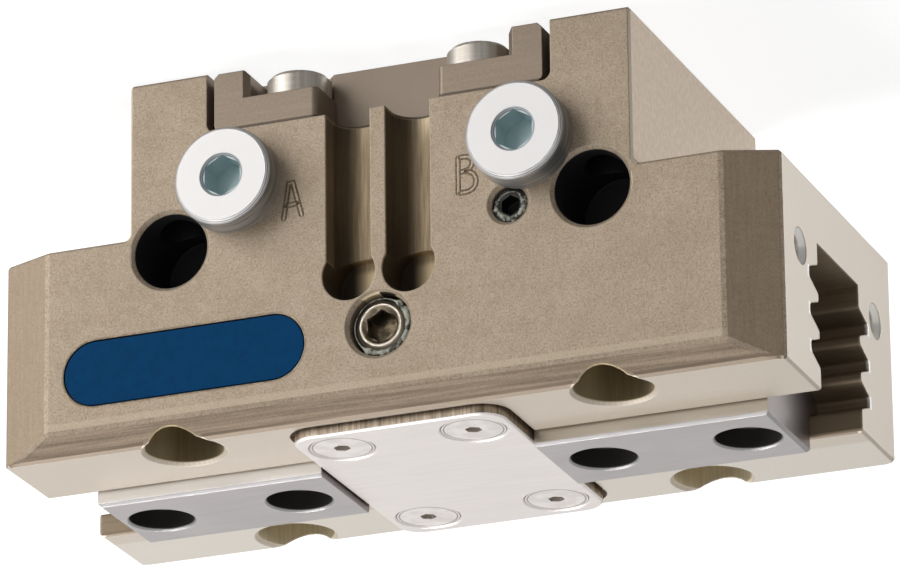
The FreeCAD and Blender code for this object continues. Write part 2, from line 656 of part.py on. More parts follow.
def drill_channel(body, name, side, slope, turn):
    """A sloping air channel from the bottom of a port into the cylinder."""
    sketch = sketch_on(body, name, TOP_VIEW)
    sketch.AttachmentOffset = Placement(Vector(), Rotation(Vector(1, 0, 0), value(turn)))
    offset = {
        "Base.x": f"{side} * derived.port_x",
        "Base.y": "size.port_depth - derived.half_depth",
        "Base.z": "size.port_height",
        "Rotation.Angle": f"({turn}) * 1 deg",
    }
    for field, expression in offset.items():
        sketch.setExpression("AttachmentOffset." + field, expression)
    circle(sketch, "0", "0", "size.channel_diameter")
    pocket(body, sketch, f"derived.port_wall / cos({slope} * 1 deg) + size.channel_reach")


def drill_front(body):
    """Ports, side mounting holes, screw holes and the label recess in the front face."""
    face = "derived.half_depth"
    ports = [("derived.port_x", "size.port_height"), (minus("derived.port_x"), "size.port_height")]
    drill(body, "AirPorts", FRONT_VIEW, face, ports, "size.port_diameter", "size.port_depth")
    drill_channel(body, "LowChannel", 1, "size.low_channel_tilt", "90 - size.low_channel_tilt")
    drill_channel(body, "HighChannel", -1, "size.high_channel_tilt", "90 + size.high_channel_tilt")

    side_holes = [
        ("derived.side_hole_x", "derived.side_hole_z"),
        (minus("derived.side_hole_x"), "derived.side_hole_z"),
    ]
    drill(
        body, "SideHoles", FRONT_VIEW, face, side_holes, "size.side_hole_diameter",
        "size.side_hole_depth", rim="size.hole_rim")

    purge = [(minus("size.purge_offset"), "size.purge_height")]
    drill(
        body, "PurgeHole", FRONT_VIEW, face, purge,
        "size.purge_screw_diameter + 2 * size.screw_fit",
        "size.purge_screw_sink + size.purge_screw_length + size.end_gap", rim="size.hole_rim")

    cap = [("0", "derived.cap_screw_z")]
    drill(
        body, "CapBore", FRONT_VIEW, face, cap, "size.cap_bore_diameter",
        "derived.cap_bore_depth", rim="size.hole_rim")
    drill(
        body, "CapThread", FRONT_VIEW, face, cap, "size.cap_screw_shank + 2 * size.screw_fit",
        "derived.cap_bore_depth + size.cap_screw_grip + size.end_gap")

    recess = sketch_on(body, "LabelRecess", FRONT_VIEW, face)
    stadium(
        recess, "size.label_length / 2", "size.label_height / 2",
        "derived.label_x", "derived.label_z")
    pocket(body, recess, "size.label_recess")


def cut_sensor_seats(body):
    """The bracket pocket at the mounting end and the two round sensor grooves."""
    face = "derived.half_depth"
    seat = sketch_on(body, "SensorPocket", FRONT_VIEW, face)
    half = "derived.pocket_half_width"
    rectangle(seat, minus(half), "-size.edge_break", half, "size.sensor_pocket_height")
    pocket(body, seat, "size.sensor_pocket_depth")
    corners = straight_edges(
        body.Tip, ALONG_Y,
        lambda point: at(point.x, half) and at(point.z, "size.sensor_pocket_height"))
    dress(body, "Fillet", corners, "size.sensor_pocket_corner")

    groove_spots = [("derived.groove_x", minus("derived.groove_axis")),
                    (minus("derived.groove_x"), minus("derived.groove_axis"))]
    drill(
        body, "GrooveRounds", TOP_VIEW, None, groove_spots, "size.groove_width",
        "size.groove_end_height", backwards=True)
    mouths = sketch_on(body, "GrooveMouths", TOP_VIEW)
    for side in ("1", "-1"):
        edges = [f"{side} * size.groove_rib / 2",
                 f"{side} * (size.groove_rib / 2 + size.groove_width)"]
        rectangle(
            mouths, edges[0], f"-({face} + size.edge_break)", edges[1],
            minus("derived.groove_axis"))
    pocket(body, mouths, "size.groove_end_height", backwards=True)
    ends = [("derived.groove_x", "size.groove_end_height"),
            (minus("derived.groove_x"), "size.groove_end_height")]
    drill(
        body, "GrooveEnds", FRONT_VIEW, face, ends, "size.groove_end_diameter",
        "size.groove_end_depth")

    threads = [("derived.bracket_screw_x", "derived.bracket_screw_y"),
               (minus("derived.bracket_screw_x"), "derived.bracket_screw_y")]
    drill(
        body, "BracketThreads", TOP_VIEW, "size.sensor_pocket_height", threads,
        "size.bracket_screw_shank + 2 * size.screw_fit",
        "size.bracket_screw_grip + size.end_gap", backwards=True)
    drill(
        body, "BracketHeadRelief", TOP_VIEW, None, threads,
        "size.bracket_screw_head + 2 * size.end_gap",
        "size.bracket_step_height + size.end_gap", backwards=True)


def drill_mounting(body):
    """Four mounting holes with deep counterbores and the tapped holes in both ends."""
    top = "derived.body_height"
    spots = both_signs("derived.mount_x", "derived.mount_y")
    drill(
        body, "MountHeads", TOP_VIEW, top, spots, "size.mount_head_diameter",
        "size.mount_head_depth", rim="size.hole_rim")
    drill(body, "MountHoles", TOP_VIEW, top, spots, "size.mount_hole_diameter")

    ends = [("derived.end_hole_y", "derived.end_hole_z"),
            (minus("derived.end_hole_y"), "derived.end_hole_z")]
    half = "derived.half_length"
    drill(
        body, "EndHolesPlus", END_VIEW, half, ends, "size.end_hole_diameter",
        "size.end_hole_depth", rim="size.end_hole_rim")
    drill(
        body, "EndHolesMinus", END_VIEW, minus(half), ends, "size.end_hole_diameter",
        "size.end_hole_depth", rim="size.end_hole_rim", backwards=True)


def make_housing():
    body = new_body("housing")
    shape_housing_outside(body)
    cut_guide(body)
    cut_cylinder(body)
    drill_front(body)
    cut_sensor_seats(body)
    drill_mounting(body)
    return body


def make_cover_plate():
    body = new_body("cover_plate")
    outline = sketch_on(body, "PlateOutline", TOP_VIEW, "derived.plate_bottom")
    half_width, half_depth = "derived.plate_half_width", "derived.plate_half_depth"
    rectangle(outline, minus(half_width), minus(half_depth), half_width, half_depth)
    pad(body, outline, "size.plate_thickness")
    corners = straight_edges(body.Tip, ALONG_Z, lambda point: True)
    dress(body, "Fillet", corners, "size.plate_corner")
    rim = [
        f"Edge{index}" for index, edge in enumerate(body.Tip.Shape.Edges, start=1)
        if abs(edge.CenterOfMass.z - value("derived.plate_top")) < NEAR
    ]
    dress(body, "Chamfer", rim, "size.plate_edge_break")
    spots = both_signs("derived.plate_screw_x", "derived.plate_screw_y")
    drill(body, "PlateHoles", TOP_VIEW, "derived.plate_top", spots, "derived.plate_hole")
    sinks = sketch_on(body, "PlateSinks", TOP_VIEW, "derived.plate_top")
    for x, y in spots:
        circle(sinks, x, y, "derived.plate_countersink")
    depth = "(derived.plate_countersink - derived.plate_hole) / 2"
    pocket(body, sinks, depth, taper=-SQUARE_CHAMFER)
    return body


def countersunk_screw(label, shank, head, length, socket):
    """A countersunk screw with its head's face at the origin and its shank along -Z."""
    body = new_body(label)
    cone = f"({head} - {shank}) / 2"
    revolve(body, label + "Profile", [
        ("0", "0"), (f"{head} / 2", "0"), (f"{shank} / 2", minus(cone)),
        (f"{shank} / 2", minus(length)), ("0", minus(length)),
    ])
    hex_socket(body, label + "Socket", socket, f"{cone} * 0.8")
    return body


def make_cover_plate_screws():
    length = "size.plate_thickness - size.plate_screw_sink + size.plate_screw_grip"
    screw = countersunk_screw(
        "plate_screw", "size.plate_screw_shank", "size.plate_screw_head", length,
        "size.plate_screw_hex")
    place(screw, "derived.plate_screw_x", "derived.plate_screw_y",
          "derived.plate_top - size.plate_screw_sink")
    beside = mirrored(screw, ALONG_X, "plate_screw_beside")
    pair = group("plate_screw_pair", [screw, beside])
    opposite = mirrored(pair, ALONG_Y, "plate_screw_opposite")
    return group("cover_plate_screws", [pair, opposite])


def wedge_face(z, inset="0"):
    """X of the wedge's sloping face at a height, moved towards the middle by inset."""
    return f"derived.wedge_half_top + derived.wedge_slope * (derived.wedge_top - ({z})) - ({inset})"


def sloping_band(sketch, low, high, outer, inner, side="1"):
    """A band along the wedge's slope between two insets from its face."""
    polygon(sketch, [
        (f"{side} * ({wedge_face(low, outer)})", low),
        (f"{side} * ({wedge_face(high, outer)})", high),
        (f"{side} * ({wedge_face(high, inner)})", high),
        (f"{side} * ({wedge_face(low, inner)})", low),
    ])


def make_base_jaw():
    """Base jaw A: toothed slide with finger holes and a hook on its sloping inner end."""
    body = new_body("base_jaw_a")
    section = sketch_on(body, "JawSection", END_VIEW, "derived.jaw_inner")
    toothed_section(
        section, "derived.jaw_half_gap", "derived.jaw_bottom", "derived.jaw_top",
        "derived.tooth_reach - size.guide_clearance", "derived.tooth_trim")
    pad(body, section, "derived.jaw_outer - derived.jaw_inner")
    round_teeth(
        body, "derived.jaw_half_gap", "derived.tooth_reach - size.guide_clearance",
        "derived.jaw_bottom", "derived.jaw_top")

    outer = "derived.jaw_outer"
    brim = straight_edges(
        body.Tip, ALONG_X, lambda point: at(point.z, "derived.jaw_top"))
    brim += straight_edges(
        body.Tip, ALONG_Y, lambda point: at(point.x, outer) and at(point.z, "derived.jaw_top"))
    dress(body, "Chamfer", brim, "size.jaw_edge_break")

    low = "derived.jaw_bottom - size.end_gap"
    slope = sketch_on(body, "JawSlope", FRONT_VIEW)
    polygon(slope, [
        ("0", low), (wedge_face(low, "-size.wedge_face_gap"), low),
        ("derived.jaw_inner", "derived.jaw_face_end"), ("0", "derived.jaw_face_end"),
    ])
    pocket(body, slope, symmetric=True)
    step = sketch_on(body, "JawStep", FRONT_VIEW)
    rectangle(
        step, "0", "derived.plate_bottom - size.end_gap", "derived.jaw_strip_inner",
        "derived.jaw_top + size.end_gap")
    pocket(body, step, symmetric=True)

    play = "size.hook_clearance"
    neck = sketch_on(body, "HookNeck", FRONT_VIEW)
    sloping_band(
        neck, "derived.jaw_bottom", "derived.hook_end", "-4 * size.wedge_face_gap",
        f"size.hook_neck_depth + 2 * {play}")
    pad(body, neck, f"size.hook_neck_width - 2 * {play}", symmetric=True)
    head = sketch_on(body, "HookHead", FRONT_VIEW)
    sloping_band(
        head, "derived.jaw_bottom", "derived.hook_end", f"size.hook_neck_depth + {play}",
        f"derived.hook_depth - {play}")
    pad(body, head, f"size.hook_head_width - 2 * {play}", symmetric=True)

    spots = [("derived.jaw_hole_outer", "0"), ("derived.jaw_hole_inner", "0")]
    drill(
        body, "SleeveSeats", TOP_VIEW, "derived.jaw_top", spots, "size.jaw_sleeve_diameter",
        "size.jaw_sleeve_depth", rim="size.jaw_hole_rim")
    drill(
        body, "FingerThreads", TOP_VIEW, "derived.jaw_top", spots, "size.jaw_thread_diameter",
        "size.jaw_thread_depth")
    return body


def make_wedge_hook():
    """The wedge with a hook slot along each sloping face, on the piston rod."""
    body = new_body("wedge_hook")
    low, high = "derived.wedge_bottom", "derived.wedge_top"
    outline = sketch_on(body, "WedgeOutline", FRONT_VIEW)
    polygon(outline, [
        (minus("derived.wedge_half_bottom"), low), ("derived.wedge_half_bottom", low),
        ("derived.wedge_half_top", high), (minus("derived.wedge_half_top"), high),
    ])
    pad(body, outline, "derived.wedge_depth", symmetric=True)
    below, above = f"{low} - size.end_gap", f"{high} + size.end_gap"
    necks = sketch_on(body, "SlotNecks", FRONT_VIEW)
    heads = sketch_on(body, "SlotHeads", FRONT_VIEW)
    for side in ("1", "-1"):
        sloping_band(
            necks, below, above, "-size.end_gap", "derived.hook_depth", side)
        sloping_band(heads, below, above, "size.hook_neck_depth", "derived.hook_depth", side)
    pocket(body, necks, "size.hook_neck_width", symmetric=True)
    pocket(body, heads, "size.hook_head_width", symmetric=True)
    rod = sketch_on(body, "Rod", TOP_VIEW, "derived.piston_top")
    circle(rod, "0", "0", "size.rod_diameter")
    pad(body, rod, "derived.wedge_bottom - derived.piston_top")
    drill(
        body, "RodThread", TOP_VIEW, "derived.piston_top", [("0", "0")],
        "size.piston_screw_shank + 2 * size.screw_fit",
        "size.piston_screw_grip + size.end_gap", backwards=True)
    return body


def oval_ring(label, bottom, height, half_length, half_depth, width):
    """An oval ring of rectangular section."""
    body = new_body(label)
    sketch = sketch_on(body, label + "Outline", TOP_VIEW, bottom)
    stadium(sketch, half_length, half_depth)
    stadium(sketch, f"{half_length} - ({width})", f"{half_depth} - ({width})")
    pad(body, sketch, height)
    return body


def oval_groove(body, name, bottom, height, half_length, half_depth, width):
    """A groove round an oval solid."""
    sketch = sketch_on(body, name, TOP_VIEW, bottom)
    stadium(sketch, f"{half_length} + {width}", f"{half_depth} + {width}")
    stadium(sketch, f"{half_length} - {width}", f"{half_depth} - {width}")
    pocket(body, sketch, height, backwards=True)


def oval_seal(label, bottom, half_length, half_depth):
    """A seal that fills its groove and reaches nearly to the wall beside it."""
    return oval_ring(
        label, f"{bottom} + size.seal_fit", "size.seal_height - 2 * size.seal_fit",
        f"{half_length} - size.seal_fit", f"{half_depth} - size.seal_fit",
        "size.seal_width - size.seal_fit")


def make_cylinder_cover():
    """The oval cover, its seal and the retaining ring that holds it."""
    body = new_body("cylinder_cover")
    length = "derived.bore_half_length + size.cover_step"
    depth = "derived.bore_half_depth + size.cover_step"
    outline = sketch_on(body, "CoverOutline", TOP_VIEW, "derived.cover_bottom")
    stadium(outline, f"{length} - size.seal_fit", f"{depth} - size.seal_fit")
    pad(body, outline, "size.cover_thickness")
    groove = "derived.cover_bottom + (size.cover_thickness - size.seal_height) / 2"
    oval_groove(body, "CoverGroove", groove, "size.seal_height", length, depth, "size.seal_width")
    seal = oval_seal("cylinder_cover_seal", groove, length, depth)

    bite = "size.ring_bite - size.seal_fit"
    ring = oval_ring(
        "cover_retaining_ring", "size.ring_lip", "size.ring_height",
        f"{length} + {bite}", f"{depth} + {bite}", "size.ring_width")
    opening = sketch_on(ring, "RingOpening", TOP_VIEW, "size.ring_lip")
    rectangle(
        opening, minus("size.ring_opening / 2"), "0", "size.ring_opening / 2",
        f"{depth} + size.ring_width")
    pocket(ring, opening, "size.ring_height", backwards=True)
    return [body, seal, ring]


def make_piston():
    """The oval piston with two seals, two magnets and the screw into the rod."""
    body = new_body("piston")
    length, depth = "derived.bore_half_length", "derived.bore_half_depth"
    bottom, top = "derived.piston_bottom", "derived.piston_top"
    outline = sketch_on(body, "PistonOutline", TOP_VIEW, bottom)
    stadium(outline, f"{length} - 2 * size.seal_fit", f"{depth} - 2 * size.seal_fit")
    pad(body, outline, "size.piston_height")
    low_groove = f"{bottom} + size.seal_land"
    high_groove = f"{top} - size.seal_land - size.seal_height"
    for name, groove in (("LowSealGroove", low_groove), ("HighSealGroove", high_groove)):
        oval_groove(body, name, groove, "size.seal_height", length, depth, "size.seal_width")
    drill(
        body, "PistonHole", TOP_VIEW, top, [("0", "0")],
        "size.piston_screw_shank + 2 * size.screw_fit")
    sink = sketch_on(body, "PistonSink", TOP_VIEW, bottom)
    circle(sink, "0", "0", "size.piston_screw_head + 2 * size.head_fit")
    cone = "(size.piston_screw_head - size.piston_screw_shank) / 2 + size.head_fit - size.screw_fit"
    pocket(body, sink, cone, backwards=True, taper=-SQUARE_CHAMFER)

    magnet_y = f"-({depth} - size.seal_width - size.magnet_wall - size.magnet_diameter / 2)"
    spots = [("derived.groove_x", magnet_y), (minus("derived.groove_x"), magnet_y)]
    drill(
        body, "MagnetHoles", TOP_VIEW, top, spots,
        "size.magnet_diameter + 2 * size.screw_fit", "size.magnet_height")

    lower = oval_seal("piston_seal_lower", low_groove, length, depth)
    upper = oval_seal("piston_seal_upper", high_groove, length, depth)
    magnet = doc.addObject("Part::Cylinder", "Magnet")
    magnet.setExpression("Radius", "size.magnet_diameter / 2")
    magnet.setExpression("Height", "size.magnet_height")
    place(magnet, "derived.groove_x", magnet_y, f"{top} - size.magnet_height")
    magnets = group("piston_magnets", [magnet, mirrored(magnet, ALONG_X, "magnet_beside")])

    screw = countersunk_screw(
        "piston_screw", "size.piston_screw_shank", "size.piston_screw_head",
        "size.piston_height + size.piston_screw_grip", "size.piston_screw_hex")
    place(screw, z=bottom, rotation=FACING_DOWN)
    return [body, lower, upper, magnets, screw]


def turned_ring(label, inner, outer, height):
    """A round ring of rectangular section standing on the origin."""
    body = new_body(label)
    revolve(body, label + "Profile", [
        (inner, "0"), (outer, "0"), (outer, height), (inner, height),
    ])
    return body


def make_rod_seal():
    rod = "size.rod_diameter / 2"
    body = turned_ring(
        "rod_seal", f"{rod} + size.seal_fit", f"{rod} + size.rod_seal_width - size.seal_fit",
        "size.rod_seal_height")
    place(body, z="derived.chamber_top + size.seal_land")
    return body


def make_port_plug():
    """Screw plug A: collar, threaded shank and hexagon socket, with its seal ring."""
    body = new_body("port_plug_a")
    collar, height = "size.plug_collar_diameter / 2", "size.plug_collar_height"
    shank = "size.port_diameter / 2 - size.screw_fit"
    groove = f"{shank} + size.plug_seal_width"
    revolve(body, "PlugProfile", [
        ("0", height), (f"{collar} - size.plug_edge_break", height),
        (collar, f"{height} - size.plug_edge_break"), (collar, "0"), (groove, "0"),
        (groove, "size.plug_seal_height"), (shank, "size.plug_seal_height"),
        (shank, minus("size.plug_shank_length")), ("0", minus("size.plug_shank_length")),
    ])
    hex_socket(
        body, "PlugSocket", "size.plug_hex", "size.plug_hex_depth", height, "size.plug_lead_in")
    seal = turned_ring(
        "port_plug_seal", f"{shank} + size.screw_fit", f"{groove} - size.screw_fit",
        "size.plug_seal_height")
    for item in (body, seal):
        place(item, "derived.port_x", minus("derived.half_depth"), "size.port_height",
              FACING_FRONT)
    other = mirrored(body, ALONG_X, "port_plug_b")
    seals = group("port_plug_seals", [seal, mirrored(seal, ALONG_X, "port_plug_seal_beside")])
    return [body, other, seals]


def make_purge_screw():
    body = new_body("purge_screw")
    radius = "size.purge_screw_diameter / 2"
    revolve(body, "PurgeProfile", [
        ("0", "0"), (radius, "0"), (radius, minus("size.purge_screw_length")),
        ("0", minus("size.purge_screw_length")),
    ])
    hex_socket(body, "PurgeSocket", "size.purge_screw_hex", "size.purge_screw_length / 2")
    place(body, minus("size.purge_offset"), "size.purge_screw_sink - derived.half_depth",
          "size.purge_height", FACING_FRONT)
    return body


def headed_screw(label, head, height, edge, shank, grip, socket, lead_in=None):
    """A screw with a flat round head that sits on the origin, shank along -Z."""
    body = new_body(label)
    revolve(body, label + "Profile", [
        ("0", height), (f"{head} / 2 - {edge}", height), (f"{head} / 2", f"{height} - {edge}"),
        (f"{head} / 2", "0"), (f"{shank} / 2", "0"), (f"{shank} / 2", minus(grip)),
        ("0", minus(grip)),
    ])
    hex_socket(body, label + "Socket", socket, f"{height} * 0.6", height, lead_in)
    return body


def make_front_cap_screw():
    screw = headed_screw(
        "front_cap_screw", "size.cap_screw_head", "size.cap_screw_head_height",
        "size.cap_screw_edge", "size.cap_screw_shank", "size.cap_screw_grip",
        "size.cap_screw_hex", "size.cap_screw_lead_in")
    place(screw, y="derived.cap_bore_depth - derived.half_depth", z="derived.cap_screw_z",
          rotation=FACING_FRONT)
    return screw


def make_label_plate():
    body = new_body("label_plate")
    sketch = sketch_on(body, "LabelOutline", FRONT_VIEW, "derived.half_depth - size.label_recess")
    stadium(
        sketch, "size.label_length / 2 - size.label_gap", "size.label_height / 2 - size.label_gap",
        "derived.label_x", "derived.label_z")
    pad(body, sketch, "size.label_thickness")
    return body


def make_sensor_brackets():
    """The L-shaped bracket A with its screw, and their mirror images."""
    body = new_body("sensor_bracket_a")
    floor, step = "size.sensor_pocket_height", "size.bracket_step_height"
    inner, block, outer = "derived.bracket_inner", "derived.bracket_block", "derived.bracket_outer"
    outline = sketch_on(body, "BracketOutline", FRONT_VIEW, "derived.half_depth")
    polygon(outline, [
        (inner, floor), (outer, floor), (outer, "size.bracket_top_inset"),
        (block, "size.bracket_top_inset"), (block, step), (inner, step),
    ])
    pad(body, outline, "size.sensor_pocket_depth - size.bracket_back_gap", backwards=True)
    corner = straight_edges(
        body.Tip, ALONG_Y, lambda point: at(point.x, outer) and at(point.z, floor))
    dress(body, "Fillet", corner, "size.bracket_corner")
    brim = straight_edges(
        body.Tip, ALONG_Y, lambda point: at(point.z, "size.bracket_top_inset"))
    dress(body, "Chamfer", brim, "size.bracket_edge_break")
    nose = straight_edges(
        body.Tip, ALONG_Z,
        lambda point: at(point.x, inner) and at(point.y, "derived.half_depth"))
    dress(body, "Fillet", nose, "size.bracket_nose")
    bevel = straight_edges(
        body.Tip, ALONG_Z,
        lambda point: at(point.x, block) and at(point.y, "derived.half_depth"))
    dress(body, "Chamfer", bevel, "size.bracket_bevel")
    spot = [("derived.bracket_screw_x", "derived.bracket_screw_y")]
    drill(
        body, "BracketHole", TOP_VIEW, floor, spot,
        "size.bracket_screw_shank + 4 * size.screw_fit")

    screw = headed_screw(
        "bracket_screw", "size.bracket_screw_head", "size.bracket_screw_head_height",
        "size.bracket_screw_edge", "size.bracket_screw_shank",
        f"{floor} - {step} + size.bracket_screw_grip", "size.bracket_screw_hex")
    place(screw, *spot[0], step, FACING_DOWN)
    other = mirrored(body, ALONG_X, "sensor_bracket_b")
    screws = group(
        "sensor_bracket_screws", [screw, mirrored(screw, ALONG_X, "bracket_screw_beside")])
    return [body, other, screws]


def make_pieces():
    jaw = make_base_jaw()
    pieces = [
        make_housing(), make_cover_plate(), make_cover_plate_screws(), jaw,
        mirrored(jaw, ALONG_X, "base_jaw_b"), make_wedge_hook(), make_rod_seal(),
        make_purge_screw(), make_front_cap_screw(), make_label_plate(),
    ]
    pieces += make_cylinder_cover()
    pieces += make_piston()
    pieces += make_port_plug()
    pieces += make_sensor_brackets()
    return pieces


def check(pieces):
    """Stop if anything in the document failed or a piece isn't a sound solid."""
    for item in doc.Objects:
        if "Invalid" in item.State or "Error" in item.State:
            raise RuntimeError(f"{item.Name} failed: {item.State}")
    for piece in pieces:
        if piece.Shape.isNull() or not piece.Shape.isValid() or not piece.Shape.Solids:
            raise RuntimeError(f"{piece.Label} is not a sound solid")


def write(pieces):
    os.makedirs("parts", exist_ok=True)
    for piece in pieces:
        piece.Shape.exportStep(f"parts/{piece.Label}.step")


finished = make_pieces()
doc.recompute()
check(finished)
write(finished)
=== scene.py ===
import math
import random

import bpy
from mathutils import Matrix, Vector


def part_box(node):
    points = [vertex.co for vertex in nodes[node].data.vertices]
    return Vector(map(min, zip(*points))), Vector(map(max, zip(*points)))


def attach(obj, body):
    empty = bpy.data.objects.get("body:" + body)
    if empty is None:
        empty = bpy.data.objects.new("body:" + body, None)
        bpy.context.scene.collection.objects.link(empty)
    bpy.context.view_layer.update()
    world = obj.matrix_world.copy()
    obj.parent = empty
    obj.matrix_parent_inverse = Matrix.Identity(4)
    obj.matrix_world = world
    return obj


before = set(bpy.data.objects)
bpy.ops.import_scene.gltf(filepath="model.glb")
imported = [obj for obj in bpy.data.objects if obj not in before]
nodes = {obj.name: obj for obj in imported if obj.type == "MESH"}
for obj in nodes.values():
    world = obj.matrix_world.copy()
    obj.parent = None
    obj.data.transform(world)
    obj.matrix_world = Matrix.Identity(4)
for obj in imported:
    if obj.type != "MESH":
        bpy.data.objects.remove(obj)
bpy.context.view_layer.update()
MM = 0.001

# The gripper stands on its mounting face, jaws up; the photograph shows it the other way up.
TARGET = Vector((0.654, 2.25, 23.99)) * MM
AZIMUTH = math.radians(-21.31)
ELEVATION = math.radians(20.56)
ROLL = math.radians(179.33)
DISTANCE = 926.3 * MM
LENS = 277.12

# Each lamp's direction from the part, then its distance, size and level.
LAMPS = {
    "key": ((0.70, -0.65, -0.28), 1.5, 1.4, 0.81),
    "fill": ((0.1, -0.95, 0.1), 0.8, 0.6, 0.05),
    "top": ((0.4, 0.1, 0.92), 0.5, 0.35, 0.95),
    "rim": ((-0.72, 0.62, -0.2), 0.8, 0.5, 0.40),
}

# Places on the part in metres, for the one with positive coordinates; the others mirror it.
MOUNT_HOLE = (0.0300, 0.0190)  # x and y of the holes through the housing
SIDE_HOLE = (0.0296, 0.0242)  # x and z of the large holes in the front
END_HOLE = (0.01525, 0.0328)  # y and z of the small holes in the ends
GROOVE_END = (0.0042, 0.0312)  # x and z of a sensor groove's closed end
FINGER_HOLES = (0.0216, 0.0416)  # x of the holes in a jaw
PLATE_SCREW = (0.0092, 0.0152)  # x and y of the cover plate's screws
TOOTH_ROOT = 0.0351  # z of the lowest tooth root in the guide slot
TOOTH_PITCH = 0.0051
LABEL_HALF_STRAIGHT = 0.0126  # half the label's length without its round ends
# Soft limits along y: just behind the front face, and just before the floor of the grooves.
FRONT_SKIN = (-0.0248, -0.0246)
GROOVE_FLOOR = (-0.0140, -0.0150)


def make_camera():
    """A long lens at the photograph's viewing angle, rolled so that the jaws point down."""
    back = Vector((math.sin(AZIMUTH) * math.cos(ELEVATION),
                   -math.cos(AZIMUTH) * math.cos(ELEVATION),
                   math.sin(ELEVATION)))
    level = (-back).cross(Vector((0, 0, 1))).normalized()
    upright = level.cross(-back)
    right = math.cos(ROLL) * level + math.sin(ROLL) * upright
    up = -math.sin(ROLL) * level + math.cos(ROLL) * upright
    place = Matrix((right, up, back)).transposed().to_4x4()
    place.translation = TARGET + DISTANCE * back
    data = bpy.data.cameras.new("camera")
    data.lens = LENS
    data.clip_start = 0.01
    camera = bpy.data.objects.new("camera", data)
    camera.matrix_world = place
    bpy.context.scene.collection.objects.link(camera)
    bpy.context.scene.camera = camera


def srgb(red, green, blue):
    """A colour as a picture program shows it, 0 to 255, in the renderer's linear values."""
    def linear(level):
        level /= 255
        return level / 12.92 if level <= 0.04045 else ((level + 0.055) / 1.055) ** 2.4
    return linear(red), linear(green), linear(blue)


def centre(node):
    low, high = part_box(node)
    return (low + high) / 2


